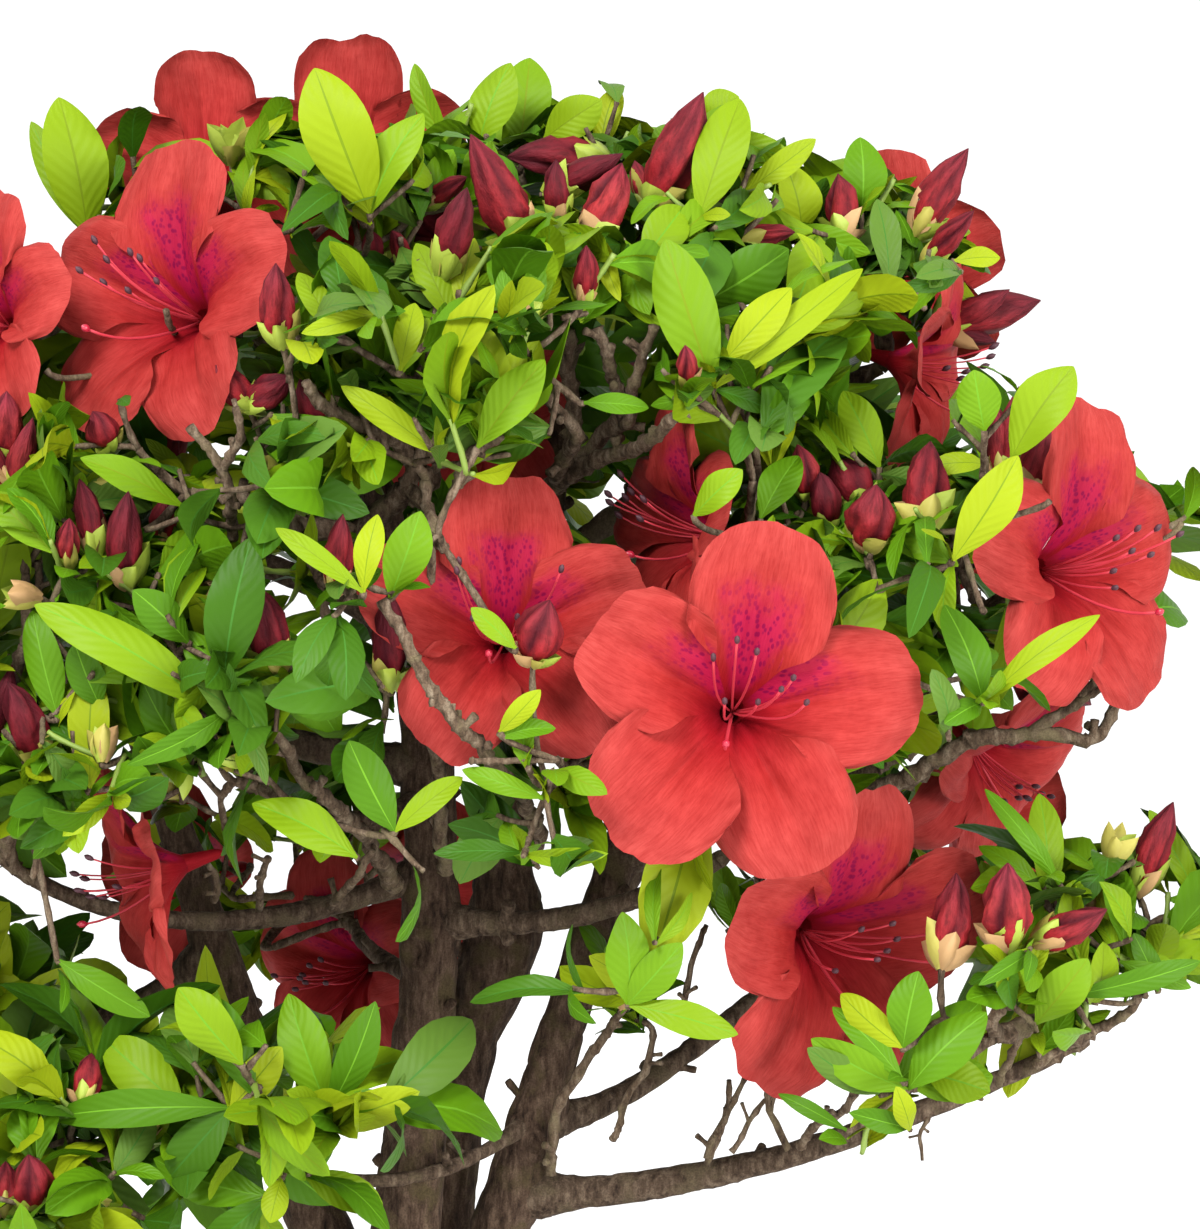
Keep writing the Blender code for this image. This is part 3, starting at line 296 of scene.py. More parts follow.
# %% The table of key leaves
KEY_LEAVES = [  # root, then root to tip along x and z, width and age
    (-61, -20, 239, -4, 27, 12, 0), (-61, -20, 239, -12, 22, 6, 1), (-28, -45, 241, -9, 17, 9, 0),
    (-19, -52, 238, 0, 22, 10, 0), (-4, -56, 240, -9, 27, 13, 0), (-4, -56, 240, 9, 19, 8, 1),
    (15, -12, 257, 6, 17, 9, 1), (23, 0, 258, 2, 19, 10, 0), (28, -11, 259, 11, 8, 8, 0), (39, 0, 258, 3, 13, 6, 0),
    (58, -38, 241, 9, 23, 10, 0), (67, -26, 247, 14, 10, 5, 0), (79, -8, 240, -3, 14, 9, 0),
    (91, -4, 245, 0, 15, 9, 1), (96, -14, 229, -2, 18, 6, 2), (102, -24, 225, 16, 1, 6, 2),
    (108, -22, 234, 9, 1, 4, 0), (60, -62, 207, -10, 27, 11, 0), (60, -62, 207, 29, 22, 6, 0),
    (62, -64, 212, 13, 13, 7, 0), (47, -45, 232, 8, 11, 8, 1), (58, -43, 224, 17, 10, 10, 1),
    (12, -63, 219, 3, 17, 5, 0), (12, -63, 219, -8, 15, 6, 0), (17, -88, 195, 13, 15, 8, 0),
    (36, -69, 204, 12, -1, 4, 1), (60, -62, 207, 11, -5, 4, 2), (-50, -62, 205, 6, 14, 6, 0),
    (-38, -64, 185, -19, 8, 6, 0), (-38, -64, 185, -1, 16, 7, 0), (-10, -76, 217, -6, 11, 5, 0),
    (3, -84, 209, 2, 13, 5, 0), (-3, -96, 169, -16, 11, 4, 0), (-3, -96, 169, 2, 14, 5, 0),
    (1, -81, 168, 5, 16, 8, 1), (-29, -82, 153, 4, 26, 10, 2), (-31, -78, 148, -32, 20, 9, 1),
    (-36, -76, 160, -9, 10, 7, 1), (-55, -66, 133, 1, 21, 8, 0), (-53, -67, 148, -4, 12, 7, 1),
    (2, -84, 126, -9, 16, 8, 1), (-5, -79, 121, -19, 10, 8, 1), (2, -84, 126, 12, 10, 5, 0),
    (104, -66, 175, 11, 20, 9, 0), (115, -65, 194, 11, 17, 10, 0), (110, -65, 199, -2, 11, 8, 1),
    (152, -24, 183, -6, 15, 8, 1), (92, -44, 193, -6, 15, 7, 1), (109, -74, 149, -7, 18, 8, 1),
    (109, -74, 149, 20, 17, 5, 0), (110, -64, 166, 14, 3, 7, 2), (44, -75, 94, -1, 17, 8, 1),
    (44, -75, 94, 10, 11, 7, 1), (44, -75, 94, 20, -6, 6, 1), (96, -62, 77, 14, 15, 9, 1),
    (96, -62, 77, -18, 9, 7, 1), (100, -51, 79, 12, -4, 8, 1), (95, -64, 85, 3, 14, 8, 1),
    (95, -64, 85, -12, 9, 6, 0), (121, -50, 88, 9, 13, 8, 0), (128, -46, 93, 25, 6, 5, 1),
    (124, -40, 110, -1, 21, 7, 1), (126, -46, 114, -14, 18, 4, 1), (155, -28, 109, -10, 18, 5, 1),
    (-39, -52, 72, -16, 13, 10, 1), (-27, -66, 82, -11, 15, 9, 1), (-30, -56, 73, -35, -1, 7, 1),
    (-12, -52, 72, -7, 22, 9, 1), (-12, -52, 72, 10, 20, 7, 1), (-30, -56, 73, 10, 11, 7, 0),
    (-30, -56, 73, -11, -14, 9, 2), (-21, -50, 59, -2, -8, 5, 0), (-61, -66, 146, -4, 20, 7, 1),
    (9, -10, 257, -7, 17, 5, 0), (10, -82, 194, -17, 13, 5, 0), (-42, -56, 222, -7, -8, 5, 0),
    (26, -88, 138, -16, 6, 6, 2), (29, -86, 132, -15, 5, 4, 1), (25, -80, 122, -16, 0, 4, 2),
    (24, -92, 159, -8, 7, 4, 1), (21, -90, 144, 7, 8, 4, 0), (56, -78, 183, 9, 8, 6, 1), (69, -56, 183, 7, 12, 7, 1),
    (146, -36, 93, -6, 11, 5, 1), (-63, -50, 100, 17, -11, 6, 1), (66, -60, 198, -8, 7, 6, 1),
    (95, -64, 79, -12, 14, 5, 1), (91, -60, 76, -13, 9, 6, 2), (94, -54, 77, 17, 15, 9, 1),
    (98, -52, 76, 15, 2, 9, 1), (85, -58, 69, -13, 6, 3, 1), (138, -40, 99, 13, -5, 4, 1), (59, -20, 261, 7, 5, 8, 0),
    (56, -30, 244, 9, 20, 12, 0),
]
KEY_PLACES = {row[:3] for row in KEY_LEAVES}
print(len(KEY_LEAVES), "key leaves on", len(KEY_PLACES), "shoots")

# %% [markdown]
# ## Helpers: directions, smooth noise and swept surfaces
#
# Most of a shrub is one idea repeated: a path, and a round section carried along it. The path could be a curve
# object with a bevel. Working the points out as arrays instead lets us press bark, knots and creases into the
# surface with a formula, for hundreds of twigs at once.

# %% Directions and paths
def unit(vectors):
    """Each vector divided by its length."""
    vectors = np.asarray(vectors, dtype=float)
    return vectors / (norm(vectors, axis=-1, keepdims=True) + 1e-12)


def facing(heading, rise):
    """The unit vector (cos heading · cos rise, sin heading · cos rise, sin rise)."""
    turn, lift = radians(heading), radians(rise)
    return np.array([cos(turn) * cos(lift), sin(turn) * cos(lift), sin(lift)])


def square_to(vectors):
    """A unit vector square to each given one: its cross product with the axis that it follows least."""
    vectors = np.atleast_2d(vectors)
    axis = np.eye(3)[np.argmin(np.abs(vectors), axis=-1)]
    return unit(np.cross(vectors, axis))


def square_pair(way):
    """Two unit vectors square to this one and to each other."""
    first = square_to(way)[0]
    return first, np.cross(way, first)


def cubic(share, begin, end, start_pull, end_pull):
    """Begin (2s³ - 3s² + 1) + start pull (s³ - 2s² + s) + end (3s² - 2s³) + end pull (s³ - s²)."""
    cube, square = share**3, share**2
    return ((2 * cube - 3 * square + 1) * begin + (cube - 2 * square + share) * start_pull
            + (3 * square - 2 * cube) * end + (cube - square) * end_pull)


def limb_line(foot, tip, sets_out, arrives, steps):
    """A cubic between two points whose ends pull along the two directions by the distance between them."""
    span = norm(tip - foot)
    return cubic(np.linspace(0, 1, steps)[:, None], foot, tip, facing(*sets_out) * span, facing(*arrives) * span)


def point_along(line, share):
    """The point that lies this share of the length along a line of points."""
    run = np.concatenate([[0.0], np.cumsum(norm(np.diff(line, axis=0), axis=1))])
    return np.array([np.interp(share * run[-1], run, line[:, axis]) for axis in range(3)])


def through(points, steps):
    """A smooth path through the points: each stretch is a cubic whose ends follow their neighbours."""
    points = np.array(points, float)
    pulls = np.gradient(points, axis=0)
    share = np.linspace(0, len(points) - 1, steps)
    k = np.minimum(share.astype(int), len(points) - 2)
    return cubic((share - k)[:, None], points[k], points[k + 1], pulls[k], pulls[k + 1])


def seen_at(points, depth):
    """Where the camera's line of sight to each point crosses the upright plane at this depth."""
    return (points - CAMERA_AT) * ((depth - CAMERA_AT[1]) / (points[:, 1:2] - CAMERA_AT[1])) + CAMERA_AT


def hides(point, target, wide):
    """Which points stand nearer the camera than the target, within this radius of the line of sight to it."""
    seen = seen_at(point, target[1])
    return (point[:, 1] < target[1] - 3) & (np.hypot(seen[:, 0] - target[0], seen[:, 2] - target[2]) < wide)


def in_sky(point):
    """Which points are seen against open sky: a line to their right crosses an outline an odd number of times."""
    seen = seen_at(point, 0)
    inside_one = np.zeros(len(point), dtype=bool)
    for outline in OPEN_SKY:
        for (x, z), (next_x, next_z) in zip(outline, outline[1:] + outline[:1]):
            if z != next_z:
                crossing = x + (seen[:, 2] - z) * (next_x - x) / (next_z - z)
                inside_one ^= ((z > seen[:, 2]) != (next_z > seen[:, 2])) & (seen[:, 0] < crossing)
    return inside_one


# %% Smooth noise
def smooth_noise(points, seed):
    """From -1 to 1: a random value on each corner of a grid of unit cubes, eased between the corners."""
    cell = np.floor(points).astype(np.int64)
    part = points - cell
    ease = part * part * (3 - 2 * part)
    total = np.zeros(points.shape[:-1])
    scatter = np.array([374761393, 668265263, 1440662683])  # large numbers that stir the corners well
    for corner in product((0, 1), repeat=3):
        at = cell + corner
        mixed = at @ scatter + seed * 1274126177
        mixed = ((mixed ^ (mixed >> 13)) * 1103515245) & 0xFFFFFFFF
        value = ((mixed ^ (mixed >> 15)) & 0xFFFF) / 32767.5 - 1
        total += value * np.prod(np.where(corner, ease, 1 - ease), axis=-1)
    return total


def layered_noise(points, seed, layers=3):
    """Noise at one scale plus half as much at twice the fineness, and so on."""
    return sum(smooth_noise(points * 2**k, seed + k) / 2**k for k in range(layers))


# %% Swept surfaces
def ring_spokes(paths, sides):
    """The directions from each path to the points round it: square to the way ahead, and without a spin."""
    ahead = unit(np.gradient(paths, axis=1))
    start = square_to(paths[:, -1] - paths[:, 0])[:, None]
    across = unit(start - ahead * np.sum(start * ahead, axis=-1, keepdims=True))
    over = np.cross(ahead, across)
    turn = np.arange(sides) * tau / sides
    return across[:, :, None] * np.cos(turn)[:, None] + over[:, :, None] * np.sin(turn)[:, None]


def swept(paths, radii, sides):
    """Point = path + radius × (across · cos a + over · sin a), for a going round; then the two end points.

    paths is (count, steps, 3) and radii is (count, steps) or (count, steps, sides)."""
    radii = radii if radii.ndim == 3 else radii[:, :, None]
    skin = paths[:, :, None] + ring_spokes(paths, sides) * radii[..., None]
    skin = skin.reshape(len(paths), -1, 3)
    return np.concatenate([skin, paths[:, :1], paths[:, -1:]], axis=1).reshape(-1, 3)


def swept_faces(count, steps, sides):
    """Four-sided faces round each swept surface, and triangles that close its two ends."""
    row, side = np.meshgrid(np.arange(steps - 1), np.arange(sides), indexing="ij")
    after = (side + 1) % sides
    quads = np.stack([row * sides + side, row * sides + after,
                      (row + 1) * sides + after, (row + 1) * sides + side], axis=-1).reshape(-1, 4)
    ring = np.arange(sides)
    ahead = (ring + 1) % sides
    last = (steps - 1) * sides
    foot = np.stack([np.full(sides, steps * sides), ahead, ring], axis=-1)
    tip = np.stack([np.full(sides, steps * sides + 1), last + ring, last + ahead], axis=-1)
    hop = np.arange(count)[:, None, None] * (steps * sides + 2)
    return (quads + hop).reshape(-1, 4), (np.concatenate([foot, tip]) + hop).reshape(-1, 3)


def tubes(paths, radii, sides):
    """Swept surfaces with their faces: (points, quads, tris)."""
    return swept(paths, radii, sides), *swept_faces(*paths.shape[:2], sides)


def sheet_faces(count, rows, columns):
    """Four-sided faces of count open grids of rows × columns points."""
    row, column = np.meshgrid(np.arange(rows - 1), np.arange(columns - 1), indexing="ij")
    corner = row * columns + column
    quads = np.stack([corner, corner + 1, corner + columns + 1, corner + columns], axis=-1).reshape(-1, 4)
    return (quads + np.arange(count)[:, None, None] * rows * columns).reshape(-1, 4)


# %% A piece from arrays
def piece(name, points, quads, tris, finishes, finish_of=None, uv=None, marks=None):
    """A mesh object: points in millimetres, faces, one finish for each face, and marks on its points."""
    mesh = bpy.data.meshes.new(name)
    mesh.vertices.add(len(points))
    mesh.vertices.foreach_set("co", (points * MM).astype(np.float32).ravel())
    corners = np.concatenate([quads.ravel(), tris.ravel()]).astype(np.int32)
    sizes = np.concatenate([np.full(len(quads), 4), np.full(len(tris), 3)])
    mesh.loops.add(len(corners))
    mesh.loops.foreach_set("vertex_index", corners)
    mesh.polygons.add(len(sizes))
    mesh.polygons.foreach_set("loop_start", (np.cumsum(sizes) - sizes).astype(np.int32))
    for finish in finishes:
        mesh.materials.append(finish)
    if finish_of is not None:
        mesh.polygons.foreach_set("material_index", np.asarray(finish_of, dtype=np.int32))
    if uv is not None:
        layer = mesh.uv_layers.new(name="surface")
        layer.uv.foreach_set("vector", uv[corners].astype(np.float32).ravel())
    for key, values in (marks or {}).items():
        mark = mesh.attributes.new(key, "FLOAT", "POINT")
        mark.data.foreach_set("value", np.asarray(values, dtype=np.float32).ravel())
    mesh.update(calc_edges=True)
    mesh.shade_smooth()
    item = linked(name, mesh)
    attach(item, "root")
    return item


NO_TRIS = np.zeros((0, 3), dtype=int)


def joined(parts):
    """Several (points, quads, tris) as one: each part's faces are numbered on from the points before it."""
    hops = np.cumsum([0] + [len(points) for points, _, _ in parts])
    quads = np.concatenate([part[1] + hop for part, hop in zip(parts, hops)])
    tris = np.concatenate([part[2] + hop for part, hop in zip(parts, hops)])
    return np.concatenate([part[0] for part in parts]), quads, tris


def triangles(quads, tris=()):
    """How many triangles these faces make."""
    return 2 * len(quads) + len(tris)


# %% [markdown]
# ## The finishes
#
# Bark is dull and mottled: grey-brown plates with dark cracks between them. It is painted by noise that is
# stretched along the limb, and the same noise raises it. Leaves are smooth and a little waxy. A petal is soft
# and lets some light in, and its colour deepens towards the throat: partly its own deeper red, and partly
# painted shade down the funnel. Buds carry painted shade in their creases and in the folds between their
# petals. Many small leaves share a mesh, so each green is a plain colour of its own, dealt out leaf by leaf.

# %% Building blocks for finishes
WHITE, BLACK = (1, 1, 1), (0, 0, 0)


def plug(tree, value, socket):
    """Link a value that comes from another node to the socket, or set any other value on it."""
    if isinstance(value, bpy.types.NodeSocket):
        tree.links.new(value, socket)
    else:
        socket.default_value = value


def node(tree, kind, **sockets):
    """A shader node of this kind. Its sockets are given by name, with _ for a space."""
    made = tree.nodes.new("ShaderNode" + kind)
    for key, value in sockets.items():
        plug(tree, value, made.inputs[key.replace("_", " ")])
    return made


def new_finish(name, colour, roughness, **sockets):
    """A Principled surface of one colour, its node tree and its shader. Further sockets are set by name."""
    finish = bpy.data.materials.new(name)
    finish.use_nodes = True
    finish.diffuse_color = (*colour, 1.0)
    shader = finish.node_tree.nodes["Principled BSDF"]
    for key, value in {"Base_Color": (*colour, 1.0), "Roughness": roughness, **sockets}.items():
        shader.inputs[key.replace("_", " ")].default_value = value
    return finish, finish.node_tree, shader


def noise_node(tree, vector, scale, detail=3.0, roughness=0.55):
    """Noise of this scale, in repeats a metre, on the given coordinates."""
    return node(tree, "TexNoise", Vector=vector, Scale=scale, Detail=detail, Roughness=roughness).outputs["Fac"]


def ramp_node(tree, value, stops):
    """Colours at stops from 0 to 1: ((place, colour), ...)."""
    ramp = node(tree, "ValToRGB", Fac=value)
    while len(ramp.color_ramp.elements) < len(stops):
        ramp.color_ramp.elements.new(0.5)
    for element, (place, colour) in zip(ramp.color_ramp.elements, stops):
        element.position = place
        element.color = (*colour, 1.0)
    return ramp.outputs["Color"]


def mix_node(tree, share, first, second, blend="MIX"):
    """The two colours mixed by the share, which is a number or a socket."""
    mix = node(tree, "Mix")
    mix.data_type = "RGBA"
    mix.blend_type = blend
    for at, value in ((0, share), (6, first), (7, second)):  # where a colour mix has its factor, A and B
        plug(tree, value, mix.inputs[at])
    return mix.outputs[2]


def tinted(tree, share, colour, value, stops):
    """The colour multiplied by a ramp of the value, as strongly as the share says."""
    return mix_node(tree, share, colour, ramp_node(tree, value, stops), "MULTIPLY")


def bump_node(tree, shader, height, strength, distance):
    """Let the surface rise with this height, by a distance in metres."""
    bump = node(tree, "Bump", Strength=strength, Distance=distance, Height=height)
    tree.links.new(bump.outputs["Normal"], shader.inputs["Normal"])


# %% Bark
def bark_finish(name, dark, middle, pale, moss):
    """Cracks and plates: noise stretched along Z, with paler patches and a tint of moss by larger noise."""
    finish, tree, shader = new_finish(name, middle, 0.9, Specular_IOR_Level=0.12)
    place = node(tree, "TexCoord").outputs["Object"]
    upright = node(tree, "Mapping", Vector=place, Scale=(1.0, 1.0, 0.28)).outputs["Vector"]
    plates = noise_node(tree, upright, 700.0, 6.0, 0.65)
    patches = noise_node(tree, place, 130.0, 4.0, 0.6)
    grain = noise_node(tree, place, 2600.0, 3.0, 0.6)
    colour = ramp_node(tree, plates, ((0.30, dark), (0.48, middle), (0.68, pale)))
    lichen = ramp_node(tree, patches, ((0.52, BLACK), (0.66, WHITE)))
    colour = mix_node(tree, lichen, colour, (*moss, 1.0))
    colour = tinted(tree, 0.8, colour, grain, ((0.35, (0.55, 0.55, 0.55)), (0.6, WHITE)))
    tree.links.new(colour, shader.inputs["Base Color"])
    bump_node(tree, shader, mix_node(tree, 0.35, plates, grain), 0.9, 0.0005)
    return finish


stem_bark, bough_bark, twig_bark = (bark_finish(*row) for row in (
    ("stem_bark", (0.011, 0.0065, 0.004), (0.052, 0.031, 0.020), (0.118, 0.078, 0.052), (0.062, 0.045, 0.021)),
    ("bough_bark", (0.015, 0.009, 0.006), (0.066, 0.043, 0.028), (0.15, 0.108, 0.074), (0.088, 0.065, 0.038)),
    ("twig_bark", (0.025, 0.017, 0.011), (0.10, 0.066, 0.042), (0.21, 0.16, 0.11), (0.14, 0.11, 0.06)),
))

# %% Greens, scales and reds of the buds
def plain_finish(name, colour, roughness, grain=1800.0, lift=0.25, **sockets):
    """One colour, with a fine grain that only lifts the surface."""
    finish, tree, shader = new_finish(name, colour, roughness, **sockets)
    place = node(tree, "TexCoord").outputs["Object"]
    bump_node(tree, shader, noise_node(tree, place, grain), lift, 0.0002)
    return finish


YOUNG_GREENS = ((0.168, 0.232, 0.004), (0.135, 0.212, 0.004), (0.196, 0.250, 0.005), (0.102, 0.190, 0.004))
RIPE_GREENS = ((0.092, 0.190, 0.004), (0.064, 0.155, 0.003), (0.122, 0.205, 0.004), (0.046, 0.122, 0.003))
OLD_GREENS = ((0.027, 0.080, 0.003), (0.038, 0.102, 0.006), (0.066, 0.128, 0.016))
LEAF_SHINE = {"Specular_IOR_Level": 0.09, "grain": 700.0, "lift": 0.6}


def surface_node(tree, scale):
    """The piece's own map of its surface, drawn out by this scale."""
    surface = node(tree, "UVMap")
    surface.uv_map = "surface"
    return node(tree, "Mapping", Vector=surface.outputs["UV"], Scale=scale).outputs["Vector"]


def leaf_finish(name, colour, roughness):
    """One colour, with side veins that slant from the rib to the edge as shallow furrows."""
    finish, tree, shader = new_finish(name, colour, roughness, Specular_IOR_Level=0.09)
    veins = node(tree, "TexWave", Vector=surface_node(tree, (1.0, 1.0, 1.0)), Scale=tau / 20, Distortion=0.8)
    bump_node(tree, shader, veins.outputs["Fac"], 0.2, 0.0003)
    return finish


leaf_finishes = [
    leaf_finish(f"{age}_leaf_{k}", green, roughness)
    for age, greens, roughness in (
        ("young", YOUNG_GREENS, 0.5), ("ripe", RIPE_GREENS, 0.46), ("old", OLD_GREENS, 0.44),
    )
    for k, green in enumerate(greens)
]
rib_finishes = [
    plain_finish("young_rib", (0.112, 0.168, 0.004), 0.5, **LEAF_SHINE),
    plain_finish("ripe_rib", (0.095, 0.225, 0.012), 0.5, **LEAF_SHINE),
    plain_finish("old_rib", (0.036, 0.12, 0.014), 0.5, **LEAF_SHINE),
]
shoot_finish = plain_finish("green_shoot", (0.15, 0.22, 0.03), 0.55)
scale_finishes = [
    plain_finish("green_scale", (0.27, 0.34, 0.035), 0.55),
    plain_finish("tan_scale", (0.36, 0.21, 0.085), 0.65),
    plain_finish("olive_scale", (0.33, 0.29, 0.05), 0.6),
]
print(len(leaf_finishes) + len(rib_finishes), "leaf finishes")

# %% Petals and buds
def mark_node(tree, name):
    """The numbers that a piece carries on its points under this name."""
    mark = node(tree, "Attribute")
    mark.attribute_name = name
    return mark.outputs["Fac"]


def times_node(tree, first, second):
    """The product of two sockets, or of a socket and a number."""
    times = node(tree, "Math")
    times.operation = "MULTIPLY"
    for value, socket in zip((first, second), times.inputs):
        plug(tree, value, socket)
    return times.outputs[0]


def petal_finish():
    """Coral, deeper towards the throat by its own red and by painted shade, fine veins that run outwards, and a
    speckled blotch by marks.
    """
    finish, tree, shader = new_finish("coral_petal", (0.35, 0.019, 0.016), 0.6, Specular_IOR_Level=0.06)
    veins = noise_node(tree, surface_node(tree, (1.0, 0.09, 1.0)), 34.0, 3.0, 0.6)
    streaks = noise_node(tree, surface_node(tree, (1.0, 0.16, 1.0)), 7.0, 2.0, 0.5)
    mottle = noise_node(tree, surface_node(tree, (1.0, 1.0, 1.0)), 2.2, 4.0, 0.6)
    # deep red at the throat (outward 0) to coral at the rim: the darkest stops are partly the petal's own red and
    # partly painted shade down the funnel
    colour = ramp_node(tree, mark_node(tree, "outward"), (
        (0.0, (0.17, 0.003, 0.009)), (0.16, (0.25, 0.007, 0.012)),
        (0.45, (0.275, 0.020, 0.018)), (1.0, (0.290, 0.036, 0.031)),
    ))
    colour = tinted(tree, 0.8, colour, veins, ((0.36, (0.84, 0.64, 0.64)), (0.56, WHITE)))
    colour = tinted(tree, 0.8, colour, streaks, ((0.38, (0.88, 0.74, 0.74)), (0.6, WHITE)))
    colour = tinted(tree, 0.75, colour, mottle, ((0.35, (0.87, 0.78, 0.78)), (0.62, (1.04, 1.15, 1.12))))
    blotch = mark_node(tree, "blotch")
    colour = mix_node(tree, times_node(tree, blotch, 0.72), colour, (0.27, 0.004, 0.040, 1.0))
    dots = node(tree, "TexVoronoi", Vector=surface_node(tree, (1.0, 0.62, 1.0)), Scale=13.0)
    near = ramp_node(tree, dots.outputs["Distance"], ((0.30, WHITE), (0.46, BLACK)))
    speck = times_node(tree, times_node(tree, near, blotch), 0.85)
    colour = mix_node(tree, speck, colour, (0.13, 0.001, 0.030, 1.0))
    tree.links.new(colour, shader.inputs["Base Color"])
    bump_node(tree, shader, mix_node(tree, 0.5, veins, streaks), 0.6, 0.0004)
    return finish


def bud_finish(name, foot, middle, tip):
    """Red at the foot and purple towards the tip, with fine creases that run along the bud; painted shade darkens the
    creases and the folds.
    """
    finish, tree, shader = new_finish(name, middle, 0.7, Specular_IOR_Level=0.18)
    creases = noise_node(tree, surface_node(tree, (1.0, 0.22, 1.0)), 9.0, 4.0, 0.65)
    colour = ramp_node(tree, mark_node(tree, "outward"), ((0.1, foot), (0.55, middle), (1.0, tip)))
    # painted shade: the colour darkens where the creases sink, by the same noise that lowers the bump there
    colour = tinted(tree, 0.9, colour, creases, ((0.36, (0.42, 0.28, 0.33)), (0.54, WHITE)))
    # painted shade: the folds between the rolled petals darken almost to black by the fold mark
    colour = mix_node(tree, mark_node(tree, "fold"), colour, (0.045, 0.001, 0.005, 1.0))
    tree.links.new(colour, shader.inputs["Base Color"])
    bump_node(tree, shader, creases, 1.0, 0.0006)
    return finish


coral_petal = petal_finish()
bud_finishes = [
    bud_finish("crimson_bud", (0.24, 0.007, 0.010), (0.19, 0.011, 0.015), (0.13, 0.011, 0.020)),
    bud_finish("dark_bud", (0.16, 0.004, 0.009), (0.12, 0.006, 0.011), (0.075, 0.006, 0.013)),
    bud_finish("rose_bud", (0.29, 0.011, 0.014), (0.25, 0.020, 0.022), (0.17, 0.014, 0.028)),
]
filament_finish = plain_finish("rose_filament", (0.42, 0.03, 0.045), 0.45, Specular_IOR_Level=0.25)
anther_finish = plain_finish("dark_anther", (0.045, 0.008, 0.016), 0.6)
stigma_finish = plain_finish("deep_stigma", (0.35, 0.01, 0.03), 0.35)

# %% [markdown]
# ## Stems and boughs with bark
#
# An old azalea's stem is never a smooth cylinder: it swells where boughs leave it, keeps round scars where
# others were cut off, and its bark rises in soft ridges with cracks between them. A sculpted mesh could carry
# that, but the same marks come from a few formulas: the radius at each point is the limb's own taper, plus
# noise at three scales, plus a bump for each collar and scar.

# %% The lines of the limbs
def stem_line(name, steps):
    """The centre line and the half widths of a stem, with its old swelling."""
    foot, tip, sets_out, arrives, half_foot, half_tip = STEMS[name]
    line = limb_line(np.array(foot), np.array(tip), sets_out, arrives, steps)
    share = np.linspace(0, 1, steps)
    half = half_foot + (half_tip - half_foot) * share
    if name in SWELLINGS:
        centre, growth, half_length, push = SWELLINGS[name]
        rise = np.exp(-(((share - centre) / half_length) ** 2))
        half = half + growth * rise
        line = line + np.outer(rise, (push, 0, 0))
    return line, half


def bough_line(name, parent_line, steps):
    """The centre line and the half widths of a bough, from its stem's centre line to its tip."""
    _, share, tip, sets_out, arrives, half_foot, half_tip = BOUGHS[name]
    foot = point_along(parent_line, share)
    return limb_line(foot, np.array(tip), sets_out, arrives, steps), np.linspace(half_foot, half_tip, steps)


GRAIN = 0.75  # the bark's grid, in millimetres
limbs = {name: stem_line(name, int(200 / GRAIN)) for name in STEMS}
for name, row in BOUGHS.items():
    limbs[name] = bough_line(name, limbs[row[0]][0], int(100 / GRAIN))
print(len(limbs), "limbs, thickest", round(max(half.max() for _, half in limbs.values()) * 2, 1), "mm")

# %% Bark relief
COLLAR, FLARE = 1.1, 0.5
SCARS = [("front_stem", (3.4, -13.0, 99.0), 2.6), ("right_stem", (26.0, -6.0, 60.0), 1.8),
         ("rear_stem", (37.0, 4.0, 128.0), 2.0), ("left_stem", (-24.0, 0.0, 62.0), 1.8)]
STUBS_A_STEM, STUBS_A_BOUGH = 7, 3
SPUR_WIDTHS = np.array([1.5, 1.35, 1.1, 1.0, 1.05, 1.15, 1.0])  # thick foot, waist and a healed end


def bark_height(skin, half):
    """Millimetres that the bark stands out: soft lumps, long ridges, and narrow cracks between plates."""
    long_way = skin * (1, 1, 0.3)
    lumps = 0.075 * half * layered_noise(skin / 9.0, 3, 2)
    ridges = 0.30 * (1 - 2 * np.abs(smooth_noise(long_way / 2.6, 11))) + 0.14 * smooth_noise(long_way / 1.2, 12)
    cracks = -0.42 * np.exp(-((smooth_noise(long_way / 3.4, 21) / 0.10) ** 2))
    share = np.clip(half / 5.0, 0.35, 1.0)
    return lumps + share * (ridges + cracks)


def bumps(skin, name, half):
    """Millimetres added round each bough's foot and each scar: a collar, or a lip with a hollow in it."""
    rise = np.zeros(skin.shape[:-1])
    for bough, row in BOUGHS.items():
        if row[0] == name:
            branch, branch_half = limbs[bough]
            away = norm(branch - branch[0], axis=1)
            at = np.argmin(np.abs(away - np.interp(row[1], np.linspace(0, 1, len(half)), half)))
            gap = norm(skin - branch[at], axis=-1)
            rise += COLLAR * np.exp(-((gap / (2.1 * branch_half[0])) ** 2))
    for owner, middle, size in SCARS:
        if owner == name:
            gap = norm((skin - middle) * (1, 0.5, 0.75), axis=-1)
            rise += 0.9 * np.exp(-(((gap - size) / (0.4 * size)) ** 2)) - 0.9 * np.exp(-((gap / (0.6 * size)) ** 2))
    return rise


def spur_rows(line, half, count, chance):
    """Short stubs of twigs that were pruned: each a path that leaves the limb and stops."""
    for _ in range(count):
        at = int(chance.uniform(0.08, 0.9) * (len(line) - 2))
        ahead = unit(line[at + 1] - line[at])
        out = unit(np.cross(ahead, unit(np.array([chance.gauss(0, 1) for _ in range(3)]))))
        aims = unit(out + 0.5 * ahead + (0, 0, 0.3))
        reach = half[at] + chance.uniform(1.5, 4.5)
        thick = min(chance.uniform(0.7, 1.3), half[at] * 0.55)
        path = line[at] + np.outer(np.linspace(0.3, 1, len(SPUR_WIDTHS)) * reach, aims)
        yield path, thick * SPUR_WIDTHS


